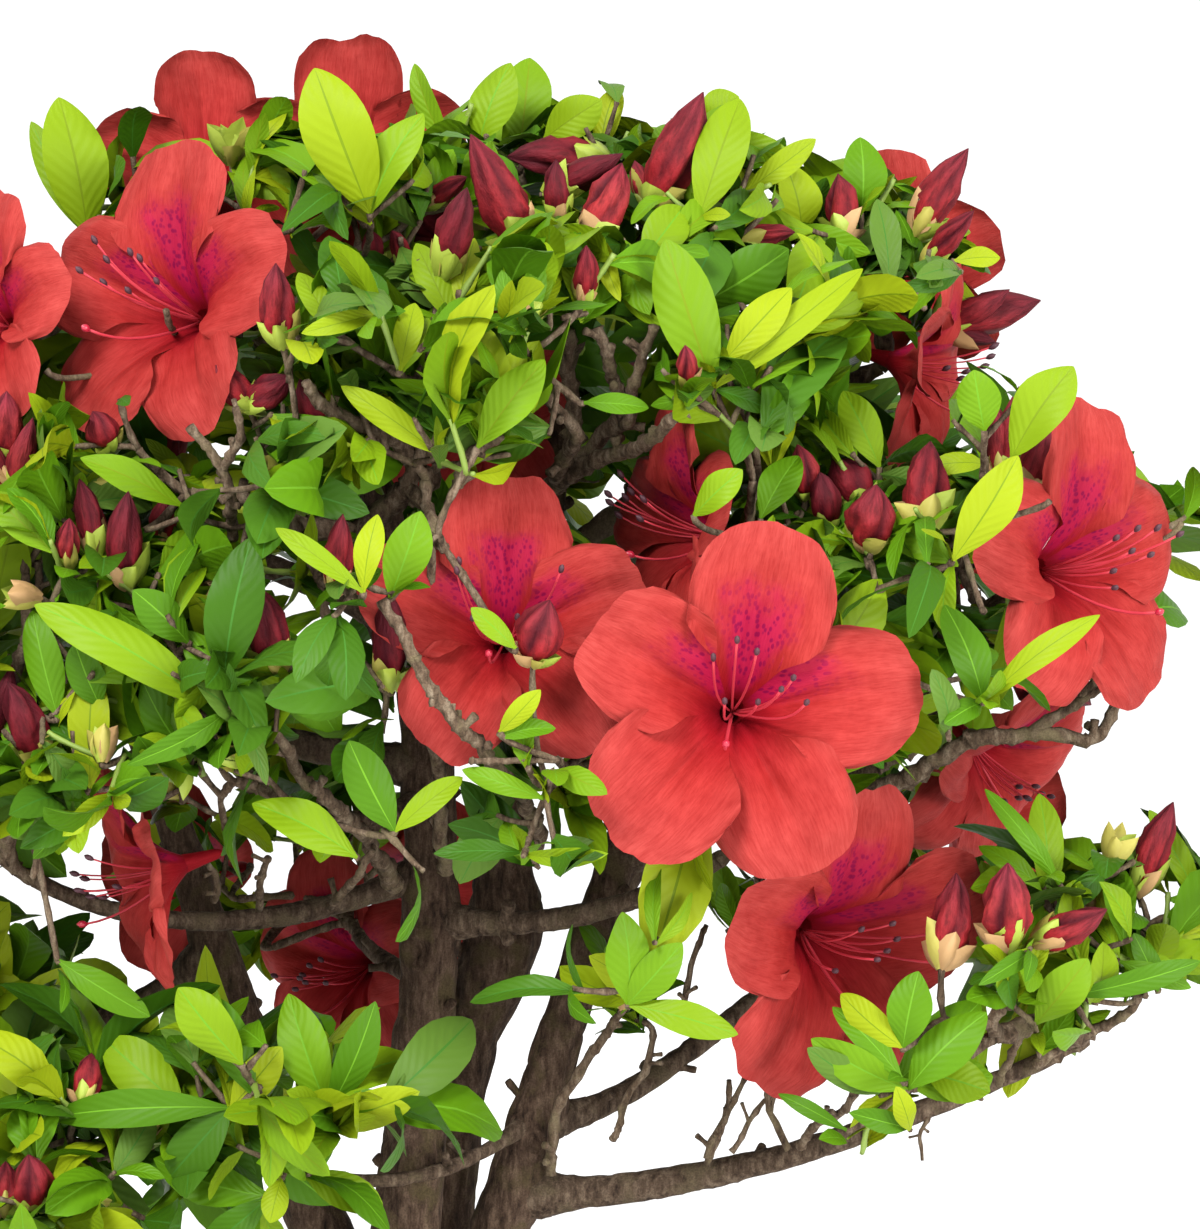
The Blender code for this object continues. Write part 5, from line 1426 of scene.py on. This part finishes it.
for region, label in enumerate(region_names):
    parts, kinds, maps = [], [], []
    listed_leaf = leaves[:, WHORL] == NO_WHORL
    for along, rows in ((ALONG, leaves[~listed_leaf]), (FINE_ALONG, leaves[listed_leaf])):
        rows = rows[rows[:, REGION] == region]
        each = (len(along) - 1) * (len(ACROSS) - 1)
        middle = np.tile(np.arange(len(ACROSS) - 1) == (len(ACROSS) - 2) // 2, len(along) - 1)
        rib, green = (np.repeat(rows[:, k], each) for k in (RIB, FINISH))
        kinds.append(np.where(np.tile(middle, len(rows)), rib, green))
        parts.append((blades(rows, along), sheet_faces(len(rows), len(along), len(ACROSS)), NO_TRIS))
        u, v = np.meshgrid(along, ACROSS, indexing="ij")
        maps.append(np.tile(np.stack([9 * u - 2.4 * np.abs(v), v], axis=-1).reshape(-1, 2), (len(rows), 1)))
    points, quads, tris = joined(parts)
    foliage(label + "_leaves", label, points, quads, tris, leaf_finishes + rib_finishes,
            np.concatenate(kinds), np.concatenate(maps))
    print(label, "leaf triangles:", triangles(quads))

# %% [markdown]
# ## Twigs
#
# A twig is knobbly: each year's growth ends in a ring of scars where a whorl of leaves fell. Each one here is a
# bowed path from fork to fork, with a narrow section that swells at every ring. They come after the leaves,
# because a side shoot that has lost all its leaves is left out.

# %% Twigs
LONG_TWIG = 13.0  # twigs longer than this get more rings


def twig_skin(rows, steps, sides, seed):
    """Swept cubics from fork to fork. Radius = taper × (1 + knobs + noise), a knob about every four millimetres."""
    _, begin, end, sets_out, arrives, first, last, finish, _ = (np.array(column) for column in zip(*rows))
    span = norm(end - begin, axis=1)[:, None]
    share = np.linspace(0, 1, steps)[None]
    ends_and_pulls = (v[:, None] for v in (begin, end, sets_out * span * 0.7, arrives * span * 0.5))
    paths = cubic(share[..., None], *ends_and_pulls)
    first, last = first[:, None], last[:, None]
    run = norm(paths[:, -1] - paths[:, 0], axis=1)[:, None] * share
    phase = np.arange(len(rows))[:, None] * 1.7
    knobs = 0.30 * np.clip(np.cos(tau * run / 4.3 + phase), 0, 1) ** 3
    radii = (first + (last - first) * share)[:, :, None] * (1 + knobs[:, :, None])
    skin = paths[:, :, None] + ring_spokes(paths, sides)
    radii = radii * (1 + 0.22 * smooth_noise(skin / 1.3, seed))
    return tubes(paths, radii, sides), np.repeat(finish, (steps - 1) * sides), np.repeat(finish, 2 * sides)


def span_of(row):
    """How far it is from a twig's begin to its end."""
    return norm(row[2] - row[1])


leafy = {NO_WHORL, *leaves[:, WHORL].astype(int)}
for region, label in enumerate(region_names):
    rows = [row for row in twig_rows if row[0] == region and span_of(row) > 0.3 and row[-1] in leafy]
    long_rows = [row for row in rows if span_of(row) > LONG_TWIG]
    short_rows = [row for row in rows if span_of(row) <= LONG_TWIG]
    skins = [twig_skin(long_rows, 16, 6, 31), twig_skin(short_rows, 8, 5, 32)]
    points, quads, tris = joined([skin[0] for skin in skins])
    finish_of = np.concatenate([skin[kind] for kind in (1, 2) for skin in skins])
    foliage(label + "_twigs", label, points, quads, tris, [twig_bark, shoot_finish], finish_of)
    print(label, "twigs:", len(rows), "triangles:", triangles(quads, tris))

# %% Bare twigs
SPUR_TAPER = np.array([0.9, 0.75, 0.6, 0.7, 0.8])


def spurred(path, half, luck):
    """Short spurs along a bare twig, where old shoots have broken off."""
    for at in luck.integers(3, len(path) - 2, max(2, len(path) // 9)):
        ahead = unit(path[at + 1] - path[at - 1])
        out = unit(np.cross(ahead, luck.normal(size=3)) + (0, 0, 0.3) + 0.5 * ahead)
        yield path[at] + np.outer(np.linspace(0, 1, 5), out) * luck.uniform(2.0, 4.5), half[at] * SPUR_TAPER


luck = np.random.default_rng(12)
parts = []
for half_foot, half_tip, _, places in BARE_TWIGS:
    rough = through(places, 80)
    run = norm(np.diff(rough, axis=0), axis=1).sum()
    path = through(places, max(12, int(run / 0.9)))
    path = path + layered_noise(np.stack([path * 0.16 + k * 9.7 for k in range(3)], axis=1), 51, 2) * 0.9
    half = np.linspace(half_foot, half_tip, len(path))
    along = np.linspace(0, run, len(path))
    knobs = 1 + 0.35 * np.clip(np.cos(tau * along / luck.uniform(3.6, 5.2) + luck.uniform(0, 6)), 0, 1) ** 4
    rough = smooth_noise(path[:, None] / 1.1 + ring_spokes(path[None], 9)[0] * 0.9, 52)
    parts.append(tubes(path[None], (half * knobs)[None, :, None] * (1 + 0.20 * rough), 9))
    parts += [tubes(spur[None], wide[None], 6) for spur, wide in spurred(path, half, luck)]
points, quads, tris = joined(parts)
foliage("bare_twigs", "front", points, quads, tris, [twig_bark])
print("bare twig triangles:", triangles(quads, tris))

# %% [markdown]
# ## Buds
#
# The buds stand in tight clusters at the ends of shoots. Each one is five petals rolled round each other, so
# narrow folds wind up it to a blunt point. Pointed scales make a cup round its foot. The buds in front are
# measured one by one and finely made. The hundreds of others have a few dozen faces each.

# %% Deal out the buds
bud_facts = []  # region, finish, fine, foot, way to the tip, width, bend, phase
scale_rows = []  # rows like those of the leaves


def add_cup(region, place, aims, length, width, chance, tones):
    """Five scales that lean out as far as what they hold is wide."""
    first, second = square_pair(aims)
    turn = chance.uniform(0, tau)
    for leaf in range(5):
        around = turn + leaf * 1.26 + chance.uniform(-0.2, 0.2)
        radial = first * cos(around) + second * sin(around)
        size = chance.uniform(0.42, 0.62) * min(length, 17)
        lean = min(0.75, max(0.25, (0.475 * width - 1 - 0.05 * size) / (0.5 * size))) + chance.uniform(-0.02, 0.12)
        out = unit(aims * sqrt(max(0.0, 1 - lean**2)) + radial * lean)
        scale_rows.append((*(place - aims * 1.6 + radial), *out, *unit(radial - out * (radial @ out)), size,
                           chance.uniform(0.55, 0.75), chance.uniform(-0.05, 0.30), -0.8, chance.uniform(0, 6),
                           chance.choice(tones), 0, region, NO_WHORL))


def add_bud(region, place, way, width, fine):
    """One bud, and the cup of scales at its foot."""
    length = norm(way)
    aims = way / length
    first, second = square_pair(aims)
    bend = first * chance.uniform(-0.10, 0.10) + second * chance.uniform(-0.10, 0.10)
    tone = chance.choices((0, 1, 2), (0.5, 0.25, 0.25))[0]
    bud_facts.append((region, tone, fine, *place, *way, width, *bend * length, chance.uniform(0, tau)))
    add_cup(region, place, aims, length, width, chance, (0, 0, 1, 2))


for region, place, points, buds in bud_rows:
    if isinstance(buds, tuple):
        for dx, dy, dz, width in buds:
            add_bud(region, place, np.array([dx, dy, dz], float), width, True)
        continue
    first, second = square_pair(points)
    turn = chance.uniform(0, tau)
    for k in range(buds):
        around = turn + tau * (k + chance.uniform(-0.2, 0.2)) / buds
        lean = radians(chance.uniform(8, 34) if k else chance.uniform(0, 10))
        aims = unit(points * cos(lean) + (first * cos(around) + second * sin(around)) * sin(lean))
        length = chance.uniform(14, 21) if k < 2 else chance.uniform(10, 18)
        add_bud(region, place + aims * 1.5, aims * length, length * chance.uniform(0.36, 0.44), False)
cup_chance = random.Random("cups")  # the closed cups of tan scales at the tips of older shoots
of_buds = len(scale_rows)
for link, (region, place, points, length, age, kind) in enumerate(whorl_rows):
    if kind != "tip" or link not in leafy or place[1] > -15 or cup_chance.random() > 0.75:
        continue
    held = place + points * 4
    near = any(norm(held - spot) < wide + 4 for spot, wide in KEPT_CLEAR)
    if not (veils(held) or shaded(held, 60, 1.0) or near):
        length, width = cup_chance.uniform(12, 17), cup_chance.uniform(4.5, 6.5)
        add_cup(region, place + points * 1.5, points, length, width, cup_chance, (1, 2, 2, 0))
bud_facts, scales = np.array(bud_facts), np.array(scale_rows)
scales = scales[(np.arange(len(scales)) < of_buds) | ~pierces(scales)]
print(len(bud_facts), "buds,", len(scales), "scales")

# %% Bud surfaces
BUD_SHAPE = np.array([0.36, 0.66, 0.86, 0.97, 1.0, 0.97, 0.90, 0.78, 0.60, 0.34, 0.03])
FOLDS = (  # turn, depth, width
    (0.0, 0.42, 0.20), (1.5, 0.22, 0.16), (2.9, 0.34, 0.22), (4.1, 0.18, 0.15), (5.1, 0.26, 0.18),
)


def bud_skins(rows, steps, sides):
    """Radius = half width × shape × (1 - folds), where each fold is a narrow groove that winds up the bud."""
    step = np.linspace(0, 1, steps)[None, :, None]
    foot, way, width = rows[:, None, 3:6], rows[:, None, 6:9], rows[:, None, 9:10]
    bend, phase = rows[:, None, 10:13], rows[:, None, 13:14]
    paths = foot + way * step + bend * step**2.5
    spin = (np.arange(sides) * tau / sides)[None, None]
    deep = np.zeros((len(rows), steps, sides))
    for at, depth, wide in FOLDS:
        off = (spin - phase - at - (1.1 + 0.4 * np.cos(phase)) * step + pi) % tau - pi
        deep = deep + depth * np.exp(-((off / (wide + 2.0 / sides)) ** 2)) * (1 - 0.25 * np.cos(7 * step + at))
    deep = deep * np.minimum(1, 4 * step + 0.1)
    shape = np.interp(step, np.linspace(0, 1, len(BUD_SHAPE)), BUD_SHAPE)
    radii = width / 2 * shape * (1.05 - deep)
    skin = paths[:, :, None] + ring_spokes(paths, sides) * radii[..., None]
    radii = radii * (1 + 0.13 * smooth_noise(skin / 2.4, 71) + 0.07 * smooth_noise(skin / 1.0, 72))
    around = np.broadcast_to(spin / tau * 1.5, deep.shape)
    climb = np.broadcast_to(step, deep.shape)
    over = climb * norm(way, axis=-1, keepdims=True) / 10
    # how deep each point lies in a fold, which the bud finish darkens as painted shade
    fold = np.clip(deep * 2.7, 0, 0.95)
    return tubes(paths, radii, sides), *map(with_ends, (around, over, climb, fold))


def with_ends(values):
    """The values of a swept surface in a row for each one, with those of its two end points added."""
    count = len(values)
    return np.concatenate([values.reshape(count, -1), values[:, 0, :1], values[:, -1, :1]], axis=1).ravel()


for region, label in enumerate(region_names):
    parts, kinds, tri_kinds, maps, climbs, folds = [], [], [], [], [], []
    for fine, steps, sides in ((1, 15, 22), (0, 7, 9)):
        rows = bud_facts[(bud_facts[:, 0] == region) & (bud_facts[:, 2] == fine)]
        if len(rows):
            part, around, over, climb, fold = bud_skins(rows, steps, sides)
            parts.append(part)
            maps.append(np.stack([around, over], axis=-1))
            climbs.append(climb)
            folds.append(fold)
            kinds.append(np.repeat(rows[:, 1], (steps - 1) * sides))
            tri_kinds.append(np.repeat(rows[:, 1], 2 * sides))
    points, quads, tris = joined(parts)
    foliage(label + "_buds", label, points, quads, tris, bud_finishes, np.concatenate(kinds + tri_kinds),
            np.concatenate(maps), {"outward": np.concatenate(climbs), "fold": np.concatenate(folds)})
    rows = scales[scales[:, REGION] == region]
    along, across = np.linspace(0, 1, 6), np.array([-1.0, -0.5, 0.0, 0.5, 1.0])
    skin = blades(rows, along, across, lambda u: np.sin(pi * np.clip(u, 0, 1) ** 0.75) ** 0.8)
    sheets = sheet_faces(len(rows), len(along), len(across))
    foliage(label + "_scales", label, skin, sheets, NO_TRIS, scale_finishes, np.repeat(rows[:, FINISH], 20))
    print(label, "bud triangles:", triangles(quads, tris), "scale triangles:", triangles(sheets))

# %% [markdown]
# ## Open flowers
#
# A flower is a funnel that opens into five broad lobes. Each lobe is a sheet in polar form: how far out it
# reaches depends on how far across it you are, so its end is rounded and may be notched, and its edges are
# wider than a fifth of a turn, so neighbours overlap. One side of each lobe lifts over the next. The top lobe
# and the near halves of its neighbours carry a speckled blotch that guides bees to the throat.

# %% Petals
def ease(x, low, high):
    """0 below low, 1 above high, and smooth between them."""
    share = np.clip((x - low) / (high - low), 0, 1)
    return share * share * (3 - 2 * share)


PETAL_SETS = {(64, -82, 148): (16, -0.2), (84, -42, 102): (17, 0.0)}  # throat: seed and turn of two listed flowers
LIFTS = ((1, 1), (-1, 1), (-1, 1), (-1, -1), (1, -1))  # whether each lobe's left and right edges lie over or under
FUNNEL = 2.4  # radius where the lobes leave the tube
LOBES_FROM = -10.2  # where that is, behind the throat


def petals(bloom, rows, columns, seed, turned):
    """The five lobes and the tube of one flower: points, quads, petal map, and marks for depth and blotch.

    On the way out, t, the lobes are one funnel up to a quarter. Beyond it each is free to differ."""
    _, throat, faces, size, seen = bloom
    up, side = flower_frame(faces)
    luck = np.random.default_rng(seed)
    wide_open = 1.0 if seen >= 1 else luck.uniform(0.70, 1.0)
    spotted = 0.0 if seen >= 1 and faces[1] > 0.5 else 1.0
    t, v = np.meshgrid(np.linspace(0, 1, rows) ** 1.15, np.linspace(-1, 1, columns), indexing="ij")
    across = np.abs(v)
    free = ease(t, 0.16, 0.50)
    shared = BLOOM_RADIUS * 0.78
    parts, maps, outs, blots = [], [], [], []
    for k in range(5):
        middle = k * tau / 5 + turned + luck.uniform(-0.04, 0.04) * free
        reach = BLOOM_RADIUS * luck.uniform(0.95, 1.03) * (1.05 if k == 0 else 1)
        notch = luck.uniform(0.02, 0.06) if k == 0 else luck.uniform(0, 0.04)
        notch_at = luck.uniform(-0.2, 0.2)
        grid = np.stack([v * 1.7, t * 2.4, 0 * t + k * 3.1 + seed], axis=-1)
        round_off = luck.uniform(0.30, 0.40) * across**2.4
        edge = reach * (1 - round_off - notch * np.exp(-(((v - notch_at) / 0.16) ** 2)))
        edge = edge + smooth_noise(grid[-1:] * 1.6, 40) * 1.1 + smooth_noise(grid[-1:] * 5.0, 43) * 0.45
        radius = FUNNEL + (shared - FUNNEL) * t + (edge - shared) * t * free
        angle = v * (0.640 + 0.13 * ease(t, 0.34, 0.66) - 0.11 * ease(t, 0.8, 1.0)) + middle
        curl = luck.uniform(1.0, 5.5) * t**4
        height = -10.5 + 16 * (1 - (1 - t) ** 2.3) - curl + luck.uniform(-2.0, 2.0) * t**2 * free
        left, right = LIFTS[k]
        tilt = ((1 - v) * left + (1 + v) * right) / 2
        height += 1.0 * tilt * ease(t, 0.22, 0.6) * (1 - 0.5 * t) * across**1.5
        height += 0.12 * tilt * t
        groove = np.exp(-(((v - 0.04 * np.sin(5 * t)) / 0.13) ** 2))
        height -= 1.5 * groove * ease(t, 0.05, 0.4) * (1 - ease(t, 0.75, 1.05))
        height += 1.2 * np.sin(pi * across) * ease(t, 0.2, 0.5) * (1 - 0.6 * t)
        height += 0.22 * np.cos(16 * v + 2 * t) * ease(t, 0.2, 0.5) * (1 - 0.8 * t)
        height += smooth_noise(grid, 41) * 3.8 * t**1.5 * free * (0.35 + 0.65 * across)
        height += smooth_noise(grid * 2.6, 42) * 1.7 * t**1.8 * (0.35 + 0.65 * across)
        height += smooth_noise(grid * 6.0, 44) * 0.6 * t**2.2 * (0.25 + 0.75 * np.maximum(across, t**4))
        radius, height = radius * (1 - (1 - wide_open) * t), height + (1 - wide_open) * 30 * t**1.3
        spokes = np.cos(angle)[..., None] * up + np.sin(angle)[..., None] * side
        parts.append((throat + size * (radius[..., None] * spokes + height[..., None] * faces)).reshape(-1, 3))
        maps.append(np.stack([v * radius * 0.65 / 10 + k * 7, radius / 10], axis=-1).reshape(-1, 2))
        outs.append(t.ravel())
        near = {0: 1 + 0 * v, 1: ease(-v, -0.1, 0.6), 4: ease(v, -0.1, 0.6)}.get(k, 0 * v)
        width = {0: 0.66}.get(k, 1.2)
        ragged = 0.10 * smooth_noise(grid * 4.0, 45)
        blot = near * (1 - ease(t + ragged + 0.12 * across, 0.46, 0.74))
        blot *= 1 - ease(across + ragged, width - 0.3, width + 0.15)
        blots.append((spotted * blot * ease(t, 0.02, 0.12)).ravel())
    for bag, values in zip((parts, maps, outs, blots), tube_part(throat, faces, size, up, side)):
        bag.append(values)
    quads = np.concatenate([sheet_faces(5, rows, columns), sheet_faces(1, 10, 21)[:, ::-1] + 5 * rows * columns])
    return [np.concatenate(part) for part in (parts, maps, outs, blots)] + [quads]


def tube_part(throat, faces, size, up, side):
    """The tube behind the lobes: ten rings of 21 points, narrow at the foot, with five soft corners."""
    step, turn = np.meshgrid(np.linspace(0, 1, 10), np.linspace(0, tau, 21), indexing="ij")
    radius = (FUNNEL + 0.15) * np.minimum(1, (step * 5) ** 0.5) * (0.55 + 0.45 * step**1.5)
    radius += 0.15 * np.cos(5 * turn) * step
    height = -BLOOM_TUBE + (BLOOM_TUBE + LOBES_FROM) * step
    spokes = np.cos(turn)[..., None] * up + np.sin(turn)[..., None] * side
    tube = throat + size * (radius[..., None] * spokes + height[..., None] * faces)
    surface = np.stack([turn * 0.5 + 50, step * 1.5], axis=-1)
    plain = 0 * turn.ravel()
    # outward 0.12 gives the whole tube the dark throat red: partly its own colour, partly painted shade inside the
    # funnel
    return tube.reshape(-1, 3), surface.reshape(-1, 2), plain + 0.12, plain


stamen_paths, stamen_radii, anther_paths, anther_radii, stamen_regions = [], [], [], [], []
ANTHER_SHAPE = np.array([0.1, 0.8, 1.0, 0.85, 0.1])


def outside(point):
    """Whether a point stands more than 2 mm proud of the solid model's box."""
    return np.any(point > box_high + 2) or np.any(point < box_low - 2)


def stamens(region, bloom, seed):
    """Filaments that leave the throat downwards and curve up to their anthers, and one longer style."""
    _, throat, faces, size, _ = bloom
    up, side = flower_frame(faces)
    luck = np.random.default_rng(seed)
    step = np.linspace(0, 1, 9)[:, None]
    for k in range(9):
        style = k == 8
        length = 36 if style else luck.uniform(22, 33)
        fan = luck.uniform(-0.42, 0.42)
        drop = 0.62 if style else luck.uniform(-0.22, 0.30)
        aims = unit(faces + side * fan - up * drop)
        curve = up * (9 if style else luck.uniform(3, 7)) * step**2.4 + side * fan * 4 * np.sin(pi * step)
        while outside(throat + size * (aims * (length - 9) + curve[-1])):
            length *= 0.85
        path = throat + size * (-11 * faces + aims * length * step + curve)
        stamen_paths.append(path)
        stamen_radii.append(np.full(9, 0.34 if style else 0.25) * size)
        tip = path[-1] + np.linspace(-0.5, 1, len(ANTHER_SHAPE))[:, None] * unit(path[-1] - path[-2] + 0.6 * up) * 1.5
        anther_paths.append(tip)
        anther_radii.append(ANTHER_SHAPE * (0.75 if style else 0.58))
        stamen_regions.append((region, 2 if style else 1))


for region, label in enumerate(region_names):
    parts, maps, outs, blots = [], [], [], []
    for index, (owner, bloom) in enumerate(bloom_rows):
        if owner != region:
            continue
        rows, columns = (30, 27) if bloom[4] >= 1 else (17, 13)
        seed, turned = PETAL_SETS.get(tuple(np.round(bloom[1]).astype(int)), (index + 1, 0.0))
        points, *marks, quads = petals(bloom, rows, columns, seed, turned)
        parts.append((points, quads, NO_TRIS))
        for bag, values in zip((maps, outs, blots), marks):
            bag.append(values)
        stamens(region, bloom, seed)
    points, quads, tris = joined(parts)
    foliage(label + "_petals", label, points, quads, tris, [coral_petal], uv=np.concatenate(maps),
            marks={"outward": np.concatenate(outs), "blotch": np.concatenate(blots)})
    print(label, "petal triangles:", triangles(quads))
stamen_paths, stamen_radii, anther_paths, anther_radii, stamen_regions = (
    np.array(rows) for rows in (stamen_paths, stamen_radii, anther_paths, anther_radii, stamen_regions))
for region, label in enumerate(region_names):
    mine = stamen_regions[:, 0] == region
    threads = tubes(stamen_paths[mine], stamen_radii[mine], 5)
    tips = tubes(anther_paths[mine], anther_radii[mine], 6)
    kinds = stamen_regions[mine, 1]
    finish_of = np.concatenate([np.zeros(len(threads[1])), np.repeat(kinds, 24),
                                np.zeros(len(threads[2])), np.repeat(kinds, 12)])
    foliage(label + "_stamens", label, *joined([threads, tips]),
            [filament_finish, anther_finish, stigma_finish], finish_of)

# %% [markdown]
# ## Floor and light
#
# The shrub stands before plain white. A pale floor and an even white sky give that, with one large soft light
# from the upper left in front to shape the leaves, and a weak one from the right.

# %% Stage
bpy.context.scene.view_settings.view_transform = "Standard"
world = bpy.data.worlds.new("white_room")
world.use_nodes = True
world.node_tree.nodes["Background"].inputs["Color"].default_value = (1, 1, 1, 1)
world.node_tree.nodes["Background"].inputs["Strength"].default_value = 1.15
bpy.context.scene.world = world


def soft_light(name, place, aim, size, power):
    """A round area light that faces the point it is aimed at."""
    light = bpy.data.lights.new(name, "AREA")
    light.shape = "DISK"
    light.size = size
    light.energy = power
    item = linked(name, light)
    item.location = place
    way = Vector([to - there for to, there in zip(aim, place)])
    item.rotation_euler = way.to_track_quat("-Z", "Y").to_euler()


soft_light("key_light", (-0.45, -1.15, 0.95), (0, 0, 0.16), 0.5, 30.0)
soft_light("fill_light", (0.9, -0.9, 0.35), (0, 0, 0.15), 0.6, 16.0)


def floor_piece():
    """A plain square just under the ground level."""
    far, low = 3.0, -0.0003
    mesh = bpy.data.meshes.new("pale_floor")
    mesh.from_pydata([(-far, -far, low), (far, -far, low), (far, far, low), (-far, far, low)], [], [(0, 1, 2, 3)])
    mesh.materials.append(new_finish("pale_floor", (0.97, 0.97, 0.97), 0.9, Specular_IOR_Level=0.0)[0])
    linked("pale_floor", mesh)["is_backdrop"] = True


floor_piece()

# %% [markdown]
# ## The size
#
# The dressed shrub must keep to the solid model's box, apart from a little that leaf tips may stand proud.

# %% Print both boxes, then finish
dressed = [list(corner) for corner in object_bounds()]
print("solid, mm:  ", [[round(v * 1000, 1) for v in corner] for corner in cad_box])
print("dressed, mm:", [[round(v * 1000, 1) for v in corner] for corner in dressed])
